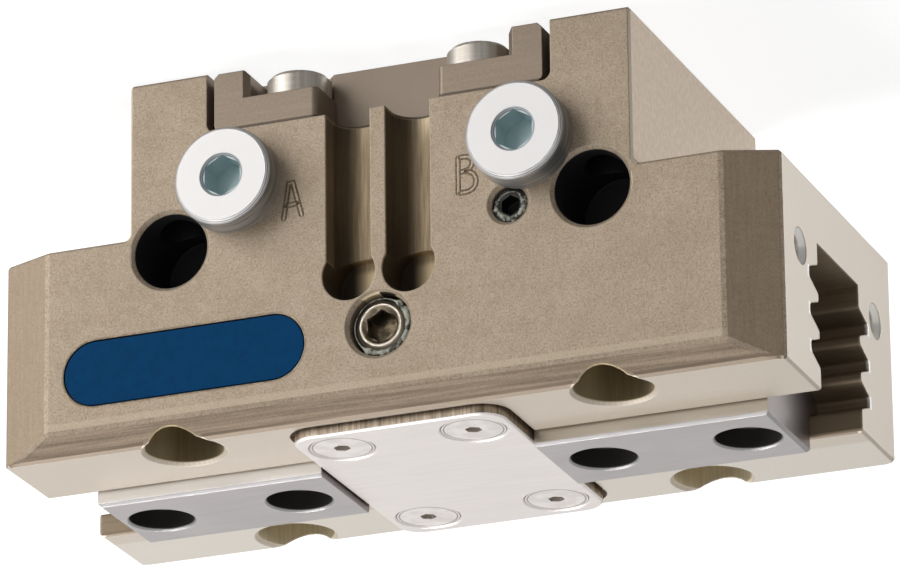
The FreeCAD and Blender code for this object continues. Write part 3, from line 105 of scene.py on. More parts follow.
class Finish:
    """A material's node tree, with short calls for the nodes that the finishes share.

    Colours are given as for srgb. The base colour is built up by paint, and dress uses it.
    """

    def __init__(self, name, metallic=0.0):
        self.material = bpy.data.materials.new(name)
        self.material.use_nodes = True
        self.nodes = self.material.node_tree.nodes
        self.links = self.material.node_tree.links
        self.shader = self.nodes["Principled BSDF"]
        self.metal(metallic)
        self.place = self.nodes.new("ShaderNodeTexCoord").outputs["Object"]
        self.normal = self.nodes.new("ShaderNodeNewGeometry").outputs["True Normal"]
        self.rounded = None
        self.base = None

    def put(self, socket, value):
        if isinstance(value, bpy.types.NodeSocket):
            self.links.new(value, socket)
        elif socket.type == "RGBA":
            socket.default_value = (*value[:3], 1.0)
        else:
            socket.default_value = value

    def math(self, operation, *values):
        node = self.nodes.new("ShaderNodeMath")
        node.operation = operation
        for socket, value in zip(node.inputs, values):
            self.put(socket, value)
        return node.outputs[0]

    def off(self, value, middle=0.0):
        """How far a value is from middle, on either side."""
        if middle:
            value = self.math("SUBTRACT", value, middle)
        return self.math("ABSOLUTE", value)

    def split(self, vector):
        node = self.nodes.new("ShaderNodeSeparateXYZ")
        self.put(node.inputs[0], vector)
        return node.outputs[0], node.outputs[1], node.outputs[2]

    def step(self, value, low, high):
        """0 below low and 1 above high, or the other way round where low is the larger."""
        node = self.nodes.new("ShaderNodeMapRange")
        node.interpolation_type = "SMOOTHSTEP"
        self.put(node.inputs["Value"], value)
        node.inputs["From Min"].default_value = low
        node.inputs["From Max"].default_value = high
        return node.outputs["Result"]

    def every(self, *masks):
        total = masks[0]
        for mask in masks[1:]:
            total = self.math("MULTIPLY", total, mask)
        return total

    def either(self, *masks):
        total = masks[0]
        for mask in masks[1:]:
            total = self.math("MAXIMUM", total, mask)
        return total

    def noise(self, scale, stretch=(1, 1, 1), detail=2.0, rough=0.5):
        """Noise of about scale grains per metre, drawn out along an axis by a small stretch."""
        node = self.nodes.new("ShaderNodeTexNoise")
        grid = self.nodes.new("ShaderNodeVectorMath")
        grid.operation = "MULTIPLY"
        self.put(grid.inputs[0], self.place)
        grid.inputs[1].default_value = stretch
        self.links.new(grid.outputs[0], node.inputs["Vector"])
        node.inputs["Scale"].default_value = scale
        node.inputs["Detail"].default_value = detail
        node.inputs["Roughness"].default_value = rough
        return node.outputs["Fac"]

    def rings(self, value, scale):
        """Turning marks: noise in one direction only, the distance from an axis."""
        node = self.nodes.new("ShaderNodeTexNoise")
        node.noise_dimensions = "1D"
        self.put(node.inputs["W"], value)
        node.inputs["Scale"].default_value = scale
        node.inputs["Detail"].default_value = 2.0
        return node.outputs["Fac"]

    def radius(self, first, second, middle):
        """Distance from an axis through middle, given the two coordinates across it."""
        across = [self.math("POWER", self.math("SUBTRACT", value, place), 2.0)
                  for value, place in zip((first, second), middle)]
        return self.math("SQRT", self.math("ADD", *across))

    def mix(self, share, first, second):
        node = self.nodes.new("ShaderNodeMix")
        node.data_type = "RGBA"
        self.put(node.inputs["Factor"], share)
        for socket, value in zip((s for s in node.inputs if s.type == "RGBA"), (first, second)):
            self.put(socket, value)
        return next(s for s in node.outputs if s.type == "RGBA")

    def tones(self, share, dark, pale):
        """From one colour to another, by a share that is usually a noise."""
        return self.mix(share, srgb(*dark), srgb(*pale))

    def blend(self, share, first, second):
        node = self.nodes.new("ShaderNodeMix")
        self.put(node.inputs[0], share)
        self.put(node.inputs[2], first)
        self.put(node.inputs[3], second)
        return node.outputs[0]

    def edges(self, radius):
        """1 on edges within radius, 0 on flat faces. Also rounds the edges' shading."""
        bevel = self.nodes.new("ShaderNodeBevel")
        bevel.samples = 8
        bevel.inputs["Radius"].default_value = radius
        self.rounded = bevel.outputs[0]
        dot = self.nodes.new("ShaderNodeVectorMath")
        dot.operation = "DOT_PRODUCT"
        self.links.new(self.rounded, dot.inputs[0])
        self.links.new(self.normal, dot.inputs[1])
        return self.step(dot.outputs["Value"], 0.995, 0.93)

    def paint(self, mask, colour, share=1.0):
        """Lay a colour over the base where mask is 1, wholly or by a share."""
        if share < 1.0:
            mask = self.math("MULTIPLY", mask, share)
        if not isinstance(colour, bpy.types.NodeSocket):
            colour = srgb(*colour)
        self.base = self.mix(mask, self.base, colour)

    def bump(self, height, distance, strength=0.5):
        node = self.nodes.new("ShaderNodeBump")
        node.inputs["Strength"].default_value = strength
        node.inputs["Distance"].default_value = distance
        self.put(node.inputs["Height"], height)
        if self.rounded is not None:
            self.links.new(self.rounded, node.inputs["Normal"])
        self.links.new(node.outputs[0], self.shader.inputs["Normal"])

    def metal(self, value):
        self.put(self.shader.inputs["Metallic"], value)

    def colour(self, value):
        self.put(self.shader.inputs["Base Color"], value)

    def rough(self, value):
        self.put(self.shader.inputs["Roughness"], value)

    def dress(self, *names):
        self.colour(self.base)
        for name in names:
            piece = nodes[name]
            piece.data.materials.clear()
            piece.data.materials.append(self.material)


class HousingFinish(Finish):
    """Anodised light metal, blasted and then milled in places.

    The two limits of a step are the soft edge of a mask, in metres or as a part of the normal.
    """

    def __init__(self):
        super().__init__("anodised_housing", metallic=0.5)
        self.x, self.y, self.z = self.split(self.place)
        across, along, self.up = self.split(self.normal)
        self.x_off = self.off(self.x)
        self.y_off = self.off(self.y)
        self.across = self.off(across)
        self.along = self.off(along)
        self.speckle = self.noise(3600, detail=3, rough=0.7)
        self.mottle = self.noise(160, detail=3)
        self.grime = self.noise(1100, detail=4, rough=0.7)
        self.scratches = self.noise(2400, stretch=(1.2, 1.2, 0.06), detail=3, rough=0.6)
        self.streaks = self.noise(1500, stretch=(0.03, 1.2, 1.2), detail=3, rough=0.6)

    def blast_sides(self):
        self.base = self.tones(self.step(self.mottle, 0.3, 0.7), (170, 153, 132), (178, 161, 141))
        self.paint(self.step(self.speckle, 0.52, 0.30), (138, 121, 99))
        self.paint(self.step(self.speckle, 0.52, 0.76), (200, 186, 167))
        self.paint(self.step(self.grime, 0.48, 0.34), (142, 124, 100), 0.28)
        self.paint(self.step(self.grime, 0.52, 0.66), (192, 178, 158), 0.28)

    def mill_faces(self):
        """Ends and jaw face: paler and smoother than the sides. Returns their mask."""
        jaw_face = self.every(self.step(self.up, 0.975, 0.99), self.step(self.z, 0.0497, 0.0499))
        end_face = self.every(self.step(self.across, 0.9, 0.95),
                              self.step(self.x_off, 0.0500, 0.0520))
        back_half = self.every(jaw_face, self.step(self.y, 0.0120, 0.0130))
        self.paint(jaw_face, self.tones(self.speckle, (197, 185, 170), (209, 198, 184)))
        self.paint(back_half, self.tones(self.speckle, (208, 200, 188), (220, 213, 202)))
        # The end faces are painted paler than the sides: partly their milled finish, partly a
        # painted sheen.
        self.paint(end_face, self.tones(self.speckle, (202, 191, 177), (214, 204, 191)))
        # Broken edges of the jaw face are dark along its sides; a painted highlight makes them
        # pale at its ends and holes.
        edge_break = self.every(self.step(self.up, 0.2, 0.3), self.step(self.up, 0.99, 0.975),
                                self.step(self.z, 0.0496, 0.0499))
        from_hole = self.radius(self.x_off, self.y_off, MOUNT_HOLE)
        painted_highlight_edge = self.either(self.step(from_hole, 0.00580, 0.00574),
                                self.step(self.x_off, 0.0536, 0.0539))
        self.paint(edge_break, self.tones(painted_highlight_edge, (138, 124, 108), (208, 197, 182)))
        return self.either(jaw_face, end_face)

    def shade_neck_and_corners(self):
        neck_side = self.every(self.step(self.across, 0.9, 0.95),
                               self.step(self.x_off, 0.0350, 0.0352),
                               self.step(self.x_off, 0.0460, 0.0440))
        self.paint(neck_side, self.tones(self.step(self.grime, 0.42, 0.62),
                                         (202, 186, 168), (212, 197, 180)), 0.8)
        from_hole = self.radius(self.x_off, self.z, SIDE_HOLE)
        # Painted light: the neck's vertical front edges are painted pale over the dark strip that
        # their rounded shading gives them.
        neck_edge_painted_light = self.every(self.step(self.across, 0.25, 0.35),
                               self.step(self.across, 0.93, 0.88),
                               self.step(self.along, 0.25, 0.35),
                               self.step(self.x_off, 0.03509, 0.03513),
                               self.step(self.x_off, 0.0430, 0.0425),
                               self.step(from_hole, 0.00555, 0.00560))
        self.paint(neck_edge_painted_light, (236, 222, 204))
        # The four corner cuts are painted darker, with cutter marks: a painted shade.
        corner = self.every(self.step(self.across, 0.25, 0.3), self.step(self.across, 0.7, 0.6),
                            self.step(self.along, 0.6, 0.7),
                            self.step(self.x_off, 0.0440, 0.0445))
        self.paint(corner, self.tones(self.step(self.scratches, 0.25, 0.75),
                                      (142, 123, 100), (156, 138, 115)), 0.6)

    def cut_chamfers(self):
        """Long chamfers with cutter marks along the body. Returns their mask."""
        chamfer = self.every(self.step(self.up, 0.3, 0.45), self.step(self.up, 0.75, 0.6),
                             self.step(self.z, 0.0470, 0.0474))
        self.paint(chamfer, self.tones(self.step(self.streaks, 0.35, 0.65),
                                       (93, 77, 60), (139, 121, 102)))
        # A pale band runs along the front and back, where the chamfering cutter touched them.
        band = self.every(self.step(self.along, 0.97, 0.99), self.step(self.z, 0.0462, 0.0464),
                          self.step(self.y_off, 0.0247, 0.0249))
        self.paint(band, self.tones(self.speckle, (172, 155, 132), (204, 190, 169)), 0.6)
        return chamfer

    def bore_holes(self):
        """Guide slot and holes. Returns a mask of the dark ones, and one of the end holes."""
        slot = self.every(self.step(self.y_off, 0.0132, 0.0130),
                          self.step(self.z, 0.0296, 0.0299), self.step(self.z, 0.0503, 0.0501),
                          self.step(self.x_off, 0.0544, 0.0541))
        self.paint(slot, self.tones(self.streaks, (116, 100, 79), (162, 144, 120)))
        from_side_hole = self.radius(self.x_off, self.z, SIDE_HOLE)
        side_hole = self.every(self.step(from_side_hole, 0.00545, 0.00535),
                               self.step(self.y, -0.0246, -0.0243),
                               self.step(self.y, -0.0120, -0.0124))
        from_mount_hole = self.radius(self.x_off, self.y_off, MOUNT_HOLE)
        through_hole = self.every(self.step(from_mount_hole, 0.00360, 0.00350),
                                  self.step(self.z, 0.0388, 0.0385),
                                  self.step(self.z, 0.0001, 0.0004))
        # Painted shade: the insides of the side holes and the through holes are painted near
        # black.
        self.paint(self.either(side_hole, through_hole), (42, 42, 44))
        # Painted shade: the front counterbores are painted dark, with painted light on their
        # sides; the back ones are painted paler.
        counterbore = self.every(self.step(from_mount_hole, 0.00545, 0.00535),
                                 self.step(self.z, 0.0381, 0.0383),
                                 self.step(self.z, 0.0501, 0.0499))
        painted_light_beside = self.step(self.off(self.x_off, MOUNT_HOLE[0]), 0.0024, 0.0050)
        front = self.tones(self.scratches, (109, 93, 67), (157, 141, 110))
        front = self.mix(self.math("MULTIPLY", painted_light_beside, 0.7), front, srgb(206, 192, 160))
        back = self.tones(self.scratches, (186, 173, 144), (236, 226, 200))
        self.paint(counterbore, self.mix(self.step(self.y, 0.0, 0.001), front, back))
        from_end_hole = self.radius(self.y_off, self.z, END_HOLE)
        end_hole = self.every(self.step(from_end_hole, 0.00265, 0.00255),
                              self.step(self.x_off, 0.0458, 0.0460),
                              self.step(self.x_off, 0.0545, 0.0543))
        # Painted reflection: the walls of the end holes are painted near white.
        self.paint(end_hole, (250, 247, 241))
        return self.either(side_hole, through_hole, counterbore, slot), end_hole

    def paint_groove_light_and_shade(self):
        """Bracket pocket and sensor grooves. Returns the grooves' mask."""
        pocket = self.every(self.step(self.x_off, 0.0245, 0.0244),
                            self.step(self.z, 0.0089, 0.0087), self.step(self.y, *FRONT_SKIN),
                            self.step(self.y, -0.0172, -0.0176))
        self.paint(pocket, self.tones(self.mottle, (148, 133, 118), (158, 144, 129)))
        from_end = self.radius(self.x_off, self.z, GROOVE_END)
        groove = self.either(
            self.every(self.step(self.x_off, 0.0075, 0.0073), self.step(self.z, 0.0086, 0.0090)),
            self.step(from_end, 0.00385, 0.00375))
        groove = self.every(groove, self.step(self.y, *FRONT_SKIN),
                            self.step(self.y, *GROOVE_FLOOR), self.step(self.z, 0.0352, 0.0350))
        # Painted light: the grooves are painted paler than the housing, and their closed ends
        # paler still.
        self.paint(groove, self.tones(self.step(self.scratches, 0.3, 0.7),
                                      (188, 167, 133), (234, 214, 180)), 0.75)
        self.paint(self.every(groove, self.step(self.z, 0.0282, 0.0292)), (252, 234, 198))
        # Painted shade lies on one flank of each groove, and more of it towards the closed end.
        middle = self.math("MULTIPLY", self.math("SIGN", self.x), GROOVE_END[0])
        flank = self.step(self.math("SUBTRACT", self.x, middle), -0.0004, 0.0022)
        painted_shade = self.math("ADD", self.math("MULTIPLY", flank, 0.91),
                        self.math("MULTIPLY", self.step(self.z, 0.0160, 0.0310), 0.08))
        self.paint(self.every(groove, painted_shade), (34, 24, 12))
        lip = self.every(self.step(self.x_off, 0.0074, 0.0072),
                         self.step(self.x_off, 0.0010, 0.0012),
                         self.step(self.z, 0.00835, 0.00848), self.step(self.z, 0.00885, 0.00872),
                         self.step(self.y, -0.0247, -0.0244), self.step(self.y, *GROOVE_FLOOR))
        self.paint(lip, (58, 46, 33), 0.8)
        return groove

    def seat_label(self):
        """A painted shade in the gap and a dirty rim round the label. Returns the gap's mask."""
        label = centre("label_plate")
        past_straight = self.math("SUBTRACT", self.off(self.x, label.x), LABEL_HALF_STRAIGHT)
        past_straight = self.math("MAXIMUM", past_straight, 0.0)
        reach = self.radius(past_straight, self.z, (0.0, label.z))
        seat = self.every(self.step(reach, 0.00464, 0.00460),
                          self.step(self.y, -0.02500, -0.02496),
                          self.step(self.y, -0.0240, -0.0242))
        # Painted shade: the gap round the label is painted dark.
        self.paint(seat, (52, 43, 33))
        rim = self.every(self.step(reach, 0.00495, 0.00478), self.step(reach, 0.00458, 0.00462),
                         self.step(self.y, -0.0249, -0.0250), self.step(self.grime, 0.4, 0.55))
        self.paint(rim, (104, 88, 68), 0.6)
        return seat

    def wear_edges(self, dark_places):
        wear = self.every(self.edges(0.00025), self.math("SUBTRACT", 1.0, dark_places),
                          self.step(self.x_off, 0.0345, 0.0340),
                          self.step(self.z, 0.0440, 0.0430))
        self.paint(wear, (200, 188, 171), 0.3)
        # Painted glints lie on the tooth roots where they meet the end faces.
        half_pitch = TOOTH_PITCH / 2
        above = self.math("SUBTRACT", self.z, TOOTH_ROOT - half_pitch)
        from_root = self.off(self.math("MODULO", above, TOOTH_PITCH), half_pitch)
        painted_glint = self.every(self.step(self.off(self.y_off, 0.01215), 0.0005, 0.0003),
                          self.step(from_root, 0.0010, 0.0007),
                          self.step(self.x_off, 0.0540, 0.0543),
                          self.step(self.z, 0.0335, 0.0337), self.step(self.z, 0.0470, 0.0468),
                          self.step(self.noise(900, detail=2), 0.34, 0.48))
        self.paint(painted_glint, (250, 248, 244))

    def make(self):
        self.blast_sides()
        milled = self.mill_faces()
        self.shade_neck_and_corners()
        chamfer = self.cut_chamfers()
        dark_holes, end_hole = self.bore_holes()
        groove = self.paint_groove_light_and_shade()
        label_gap_shade = self.seat_label()
        self.wear_edges(self.either(dark_holes, label_gap_shade, groove))
        smooth = self.either(milled, chamfer, end_hole)
        self.rough(self.blend(smooth, self.blend(self.speckle, 0.52, 0.66),
                              self.blend(self.streaks, 0.3, 0.42)))
        grain = self.blend(smooth, self.speckle, 0.5)
        self.bump(self.blend(chamfer, grain, self.streaks), 0.00004, 0.4)
        self.dress("housing")


def plate_finish():
    """Ground metal: fine grinding lines along the plate, walls painted brown in streaks as a
    painted reflection of the housing, bright edges.
    """
    finish = Finish("ground_plate", metallic=0.65)
    lines = finish.noise(5200, stretch=(0.02, 1.0, 1.0), detail=3, rough=0.6)
    cloud = finish.noise(130, detail=2)
    reflection_streaks = finish.noise(2200, stretch=(1.2, 1.2, 0.05), detail=3, rough=0.7)
    finish.base = finish.tones(finish.step(lines, 0.3, 0.7), (223, 216, 212), (233, 226, 222))
    finish.paint(finish.step(cloud, 0.35, 0.7), (233, 226, 222), 0.3)
    up = finish.split(finish.normal)[2]
    # Painted reflection: the plate's walls are painted brown in streaks.
    wall = finish.step(finish.off(up), 0.5, 0.3)
    finish.paint(wall, finish.tones(finish.step(reflection_streaks, 0.3, 0.7),
                                    (104, 87, 65), (190, 173, 150)), 0.92)
    finish.paint(finish.edges(0.0002), (240, 238, 236), 0.25)
    finish.rough(finish.blend(lines, 0.28, 0.42))
    finish.bump(lines, 0.00001)
    finish.dress("cover_plate")


def jaw_finish(name, node, sign, flank_light):
    """Ground steel with lines along the slide; the last argument gives the two colours of the
    flanks, a painted light that is paler on jaw a.
    """
    finish = Finish(name)
    x, y, z = finish.split(finish.place)
    across, along, up = finish.split(finish.normal)
    lines = finish.noise(5200, stretch=(0.02, 1.0, 1.0), detail=3, rough=0.6)
    cloud = finish.noise(110, detail=2)
    finish.base = finish.tones(finish.step(lines, 0.25, 0.75), (165, 160, 159), (178, 173, 172))
    finish.paint(finish.step(cloud, 0.35, 0.7), (184, 179, 178), 0.35)
    finish.paint(finish.edges(0.0002), (214, 212, 213), 0.25)
    # Painted light: the flanks are painted paler than the top.
    flank = finish.step(finish.off(along), 0.85, 0.95)
    finish.paint(flank, finish.tones(lines, *flank_light))
    end = finish.step(finish.off(across), 0.85, 0.95)
    finish.paint(end, (144, 137, 137))
    edge_break = finish.every(finish.step(up, 0.3, 0.4), finish.step(up, 0.9, 0.85))
    finish.paint(edge_break, (150, 147, 147))
    reach = finish.math("MINIMUM", *[finish.radius(x, y, (sign * hole, 0.0))
                                     for hole in FINGER_HOLES])
    rim = finish.every(finish.step(reach, 0.00490, 0.00475), finish.step(z, 0.05238, 0.05230))
    finish.paint(rim, (148, 146, 146))
    # Painted shade: the bores of the finger holes are painted dark.
    bore = finish.every(finish.step(reach, 0.00455, 0.00448), finish.step(z, 0.0522, 0.0519))
    finish.paint(bore, (74, 71, 69))
    finish.metal(finish.blend(bore, 0.85, 0.2))
    finish.rough(finish.blend(lines, 0.3, 0.44))
    finish.bump(lines, 0.00001)
    finish.dress(node)


def turn(finish, node, dark, pale, rough):
    """Turned metal: fine rings round the node's axis along y. Returns the distance from it."""
    x, _, z = finish.split(finish.place)
    middle = centre(node)
    reach = finish.radius(x, z, (middle.x, middle.z))
    marks = finish.rings(reach, 9000)
    cloud = finish.noise(420, detail=2)
    finish.base = finish.tones(finish.step(marks, 0.3, 0.7), dark, pale)
    finish.paint(finish.step(cloud, 0.45, 0.75), dark, 0.25)
    finish.rough(finish.blend(marks, rough - 0.08, rough + 0.08))
    finish.bump(marks, 0.00001)
    return reach


def plug_finish(name, node):
    """A satin face, a rim and socket mouth with painted highlights and shade, and sides banded by
    turning and painted darker as a painted reflection.
    """
    finish = Finish(name)
    reach = turn(finish, node, (251, 248, 246), (254, 251, 249), 0.42)
    y = finish.split(finish.place)[1]
    low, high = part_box(node)
    rim = (high.x - low.x) / 2
    side = finish.step(reach, rim - 0.0002, rim - 0.0001)
    # Painted reflection: the sides are painted darker than the face, in turned bands.
    bands = finish.noise(1500, stretch=(0.08, 1.0, 0.08), detail=3)
    finish.paint(side, finish.tones(finish.step(bands, 0.35, 0.65),
                                    (146, 144, 142), (184, 182, 180)))
    # Painted highlight: the chamfer is painted in bright and dark rings.
    chamfer = finish.every(finish.step(reach, rim - 0.00062, rim - 0.00050),
                           finish.step(reach, rim - 0.00010, rim - 0.00022))
    marks = finish.math("ADD", finish.rings(reach, 6000),
                        finish.math("MULTIPLY", finish.noise(300, detail=2), 0.3))
    marks = finish.step(marks, 0.5, 0.8)
    finish.paint(chamfer, finish.tones(marks, (146, 144, 143), (240, 238, 237)))
    # Painted light and shade: the socket's mouth is painted in pale and grey rings.
    mouth = finish.every(finish.step(reach, 0.00345, 0.00335),
                         finish.step(y, low.y + 0.00002, low.y + 0.00006))
    finish.paint(mouth, finish.tones(marks, (152, 158, 162), (222, 225, 226)))
    socket = finish.every(finish.step(reach, 0.00330, 0.00320),
                          finish.step(y, low.y + 0.00036, low.y + 0.00042))
    finish.paint(socket, (198, 216, 218))
    finish.metal(finish.blend(finish.either(side, chamfer), 0.18, 0.5))
    finish.dress(node)


def cap_screw_finish():
    """A stained head with a bright ring round its face."""
    node = "front_cap_screw"
    finish = Finish("cap_screw_steel", metallic=0.85)
    reach = turn(finish, node, (112, 104, 90), (140, 132, 118), 0.34)
    stain = finish.step(finish.noise(900, detail=3), 0.4, 0.65)
    ring = finish.every(finish.step(reach, 0.00268, 0.00275),
                        finish.step(reach, 0.00304, 0.00293))
    finish.paint(ring, finish.tones(stain, (212, 204, 192), (170, 160, 145)), 0.9)
    inside = finish.step(reach, 0.00272, 0.00264)
    finish.paint(inside, finish.tones(stain, (112, 100, 82), (150, 138, 120)))
    y = finish.split(finish.place)[1]
    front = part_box(node)[0].y
    socket = finish.every(inside, finish.step(y, front + 0.0008, front + 0.0012))
    finish.paint(socket, finish.tones(stain, (50, 43, 31), (112, 99, 78)))
    finish.dress(node)


def plain_finish(name, dark, pale, metallic, rough, names, grain=1800):
    """A fine-grained finish without direction."""
    finish = Finish(name, metallic=metallic)
    speckle = finish.noise(grain, detail=3, rough=0.6)
    cloud = finish.noise(150, detail=2)
    finish.base = finish.tones(finish.step(speckle, 0.3, 0.7), dark, pale)
    finish.paint(finish.step(cloud, 0.3, 0.7), pale, 0.3)
    worn = [min(1.0, 1.5 * level) for level in srgb(*pale)]
    finish.base = finish.mix(finish.math("MULTIPLY", finish.edges(0.0002), 0.5), finish.base, worn)
    finish.rough(finish.blend(speckle, rough - 0.08, rough + 0.1))
    finish.bump(speckle, 0.00003)
    finish.dress(*names)
    return finish


def plate_screw_finish():
    """Countersunk heads: plain faces with a turned ring, a painted shade in the gap round them and
    painted light in their sockets.
    """
    node = "cover_plate_screws"
    finish = Finish("bright_plate_screw")
    x, y, z = finish.split(finish.place)
    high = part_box(node)[1]
    edge = high.x - centre(node).x - PLATE_SCREW[0]
    reach = finish.radius(finish.off(x), finish.off(y), PLATE_SCREW)
    cloud = finish.noise(500, detail=2)
    finish.base = finish.tones(finish.step(cloud, 0.35, 0.65), (220, 213, 209), (232, 226, 222))
    line = finish.every(finish.step(reach, edge - 0.00052, edge - 0.00044),
                        finish.step(reach, edge - 0.00024, edge - 0.00032))
    finish.paint(line, (112, 104, 97), 0.75)
    # Painted shade in the gap round each head.
    gap = finish.step(reach, edge - 0.00012, edge - 0.00004)
    finish.paint(gap, (98, 90, 82), 0.8)
    socket = finish.every(finish.step(reach, 0.00135, 0.00125),
                          finish.step(z, high.z - 0.0001, high.z - 0.0002))
    # Painted light: the sockets are painted pale, lifting their shade.
    finish.paint(socket, (206, 199, 190))
    finish.metal(finish.blend(socket, 0.7, 0.1))
    finish.rough(finish.blend(cloud, 0.28, 0.4))
    finish.bump(finish.rings(reach, 5000), 0.000008)
    finish.dress(node)


def bracket_finish():
    finish = Finish("anodised_bracket", metallic=0.45)
    z = finish.split(finish.place)[2]
    speckle = finish.noise(2600, detail=3, rough=0.6)
    lines = finish.noise(1700, stretch=(0.04, 1.0, 1.0), detail=3)
    finish.base = finish.tones(finish.step(speckle, 0.3, 0.7), (134, 118, 101), (143, 128, 112))
    finish.paint(finish.step(lines, 0.45, 0.7), (168, 153, 137), 0.15)
    finish.paint(finish.edges(0.00018), (184, 172, 156), 0.3)
    # Painted shade lies in the gap along the pocket's edge.
    finish.paint(finish.step(z, 0.00805, 0.00825), (62, 50, 36), 0.8)
    finish.rough(finish.blend(speckle, 0.36, 0.5))
    finish.bump(speckle, 0.00002)
    finish.dress("sensor_bracket_a", "sensor_bracket_b")


def bracket_screw_finish():
    """Turned heads: the sides are streaked along the axis, the faces are plain."""
    finish = Finish("turned_bracket_screw", metallic=0.5)
    streaks = finish.noise(900, stretch=(1.0, 1.0, 0.05), detail=2)
    marks = finish.noise(5200, stretch=(0.05, 0.05, 1.0), detail=2)
    finish.base = finish.tones(finish.step(streaks, 0.3, 0.7), (186, 178, 166), (220, 213, 203))
    finish.paint(finish.step(marks, 0.5, 0.7), (236, 231, 223), 0.3)
    finish.rough(finish.blend(marks, 0.32, 0.44))
    finish.bump(marks, 0.000006)
    finish.dress("sensor_bracket_screws")


def dress_nodes():
    HousingFinish().make()
    plate_finish()
    jaw_finish("ground_jaw_a", "base_jaw_a", 1, ((240, 237, 234), (254, 253, 252)))
    jaw_finish("ground_jaw_b", "base_jaw_b", -1, ((194, 186, 175), (216, 209, 199)))
    plate_screw_finish()
    bracket_finish()
    bracket_screw_finish()
    plug_finish("satin_plug_a", "port_plug_a")
    plug_finish("satin_plug_b", "port_plug_b")
    cap_screw_finish()
    plain_finish("dark_set_screw", (30, 28, 27), (52, 50, 48), 0.6, 0.4, ["purge_screw"])
    label = plain_finish("blue_label", (2, 66, 112), (4, 72, 121), 0.0, 0.5, ["label_plate"],
                         grain=900)
    label.shader.inputs["Specular IOR Level"].default_value = 0.04
    plain_finish("seal_rubber", (22, 22, 22), (34, 34, 33), 0.0, 0.6,
                 ["piston_seal_lower", "piston_seal_upper", "rod_seal", "cylinder_cover_seal",
                  "port_plug_seals"])
    plain_finish("plain_aluminium", (176, 174, 170), (192, 190, 186), 0.9, 0.38,
                 ["piston", "cylinder_cover"])
    plain_finish("hardened_drive", (92, 90, 88), (112, 110, 107), 0.9, 0.34, ["wedge_hook"])
    plain_finish("spring_ring", (58, 56, 54), (78, 76, 73), 0.85, 0.36,
                 ["cover_retaining_ring"])
    plain_finish("dark_piston_screw", (44, 42, 40), (62, 60, 57), 0.8, 0.36, ["piston_screw"])
    plain_finish("magnet_nickel", (150, 148, 142), (172, 170, 163), 0.95, 0.3,
                 ["piston_magnets"])


def new_piece(name, points, faces, materials, looks, body):
    """A mesh piece that rides on a body; looks gives each face's place in the materials."""
    mesh = bpy.data.meshes.new(name)
    mesh.from_pydata(points, [], faces)
    for finish in materials:
        mesh.materials.append(finish.material)
    mesh.polygons.foreach_set("material_index", looks)
    piece = bpy.data.objects.new(name, mesh)
    bpy.context.scene.collection.objects.link(piece)
    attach(piece, body)
    return piece


def sweep(rings, closed=False):
    """Faces between rings of equal length, with each face's place in its ring.

    An open sweep gets end caps.
    """
    count = len(rings[0])
    points = [point for ring in rings for point in ring]
    faces = []
    sides = []
    last = len(rings) if closed else len(rings) - 1
    for i in range(last):
        here = i * count
        there = (i + 1) % len(rings) * count
        for j in range(count):
            k = (j + 1) % count
            faces.append((here + j, here + k, there + k, there + j))
            sides.append(j)
    if not closed:
        end = (len(rings) - 1) * count
        faces.append(tuple(range(count - 1, -1, -1)))
        faces.append(tuple(range(end, end + count)))
        sides += [0, 0]
    return points, faces, sides


def small_finish(name, metallic, scale, dark, pale, rough, spread=None):
    """Two tones for a small piece, set further apart between the limits of spread."""
    finish = Finish(name, metallic=metallic)
    grain = finish.noise(scale, detail=2)
    share = finish.step(grain, *spread) if spread else grain
    finish.colour(finish.tones(share, dark, pale))
    finish.rough(finish.blend(grain, *rough))
    return finish


# Port letters are stamped: a shallow groove with raised rims, the rims painted dark as a painted
# shade.
# The section is given across the stroke, then in height, and the strokes in x and z, all in mm.
STAMP = [(-0.40, -0.03), (-0.40, 0.01), (-0.27, 0.05), (-0.13, 0.02), (0.13, 0.02), (0.27, 0.05),
         (0.40, 0.01), (0.40, -0.03)]
STAMP_RIMS = (0, 1, 2, 4, 5, 6)
STAMP_END = 0.3
STAMP_END_WIDTH = 0.35
LETTER_A = [[(13.30, 22.35), (12.55, 17.45), (11.97, 17.40), (10.76, 22.10)],
            [(12.94, 20.55), (11.34, 20.37)]]
LETTER_B = [[(-11.25, 22.45), (-11.25, 17.50)],
            [(-11.55, 17.50), (-12.35, 17.50), (-12.85, 17.65), (-13.15, 17.95), (-13.25, 18.40),
             (-13.15, 18.88), (-12.85, 19.25), (-12.40, 19.45), (-11.75, 19.55)],
            [(-12.40, 19.55), (-12.95, 19.70), (-13.40, 20.05), (-13.67, 20.58), (-13.74, 21.15),
             (-13.60, 21.68), (-13.28, 22.10), (-12.80, 22.36), (-12.25, 22.45), (-11.55, 22.45)]]


def stamp_rings(path, front):
    """Rings of the stamped groove along one stroke, on the plane y = front."""
    spots = [Vector(point) for point in path]
    ways = [(after - before).normalized() for before, after in zip(spots, spots[1:])]
    stations = [(spots[0] - STAMP_END * ways[0], ways[0], STAMP_END_WIDTH)]
    for i, spot in enumerate(spots):
        first = ways[max(i - 1, 0)]
        second = ways[min(i, len(ways) - 1)]
        way = (first + second).normalized()
        stations.append((spot, way, 1.0 / max(0.5, way.dot(second))))
    stations.append((spots[-1] + STAMP_END * ways[-1], ways[-1], STAMP_END_WIDTH))
    rings = []
    for spot, way, width in stations:
        side = Vector((-way.y, way.x))
        rings.append([((spot.x + width * u * side.x) * MM, front - v * MM,
                       (spot.y + width * u * side.y) * MM) for u, v in STAMP])
    return rings


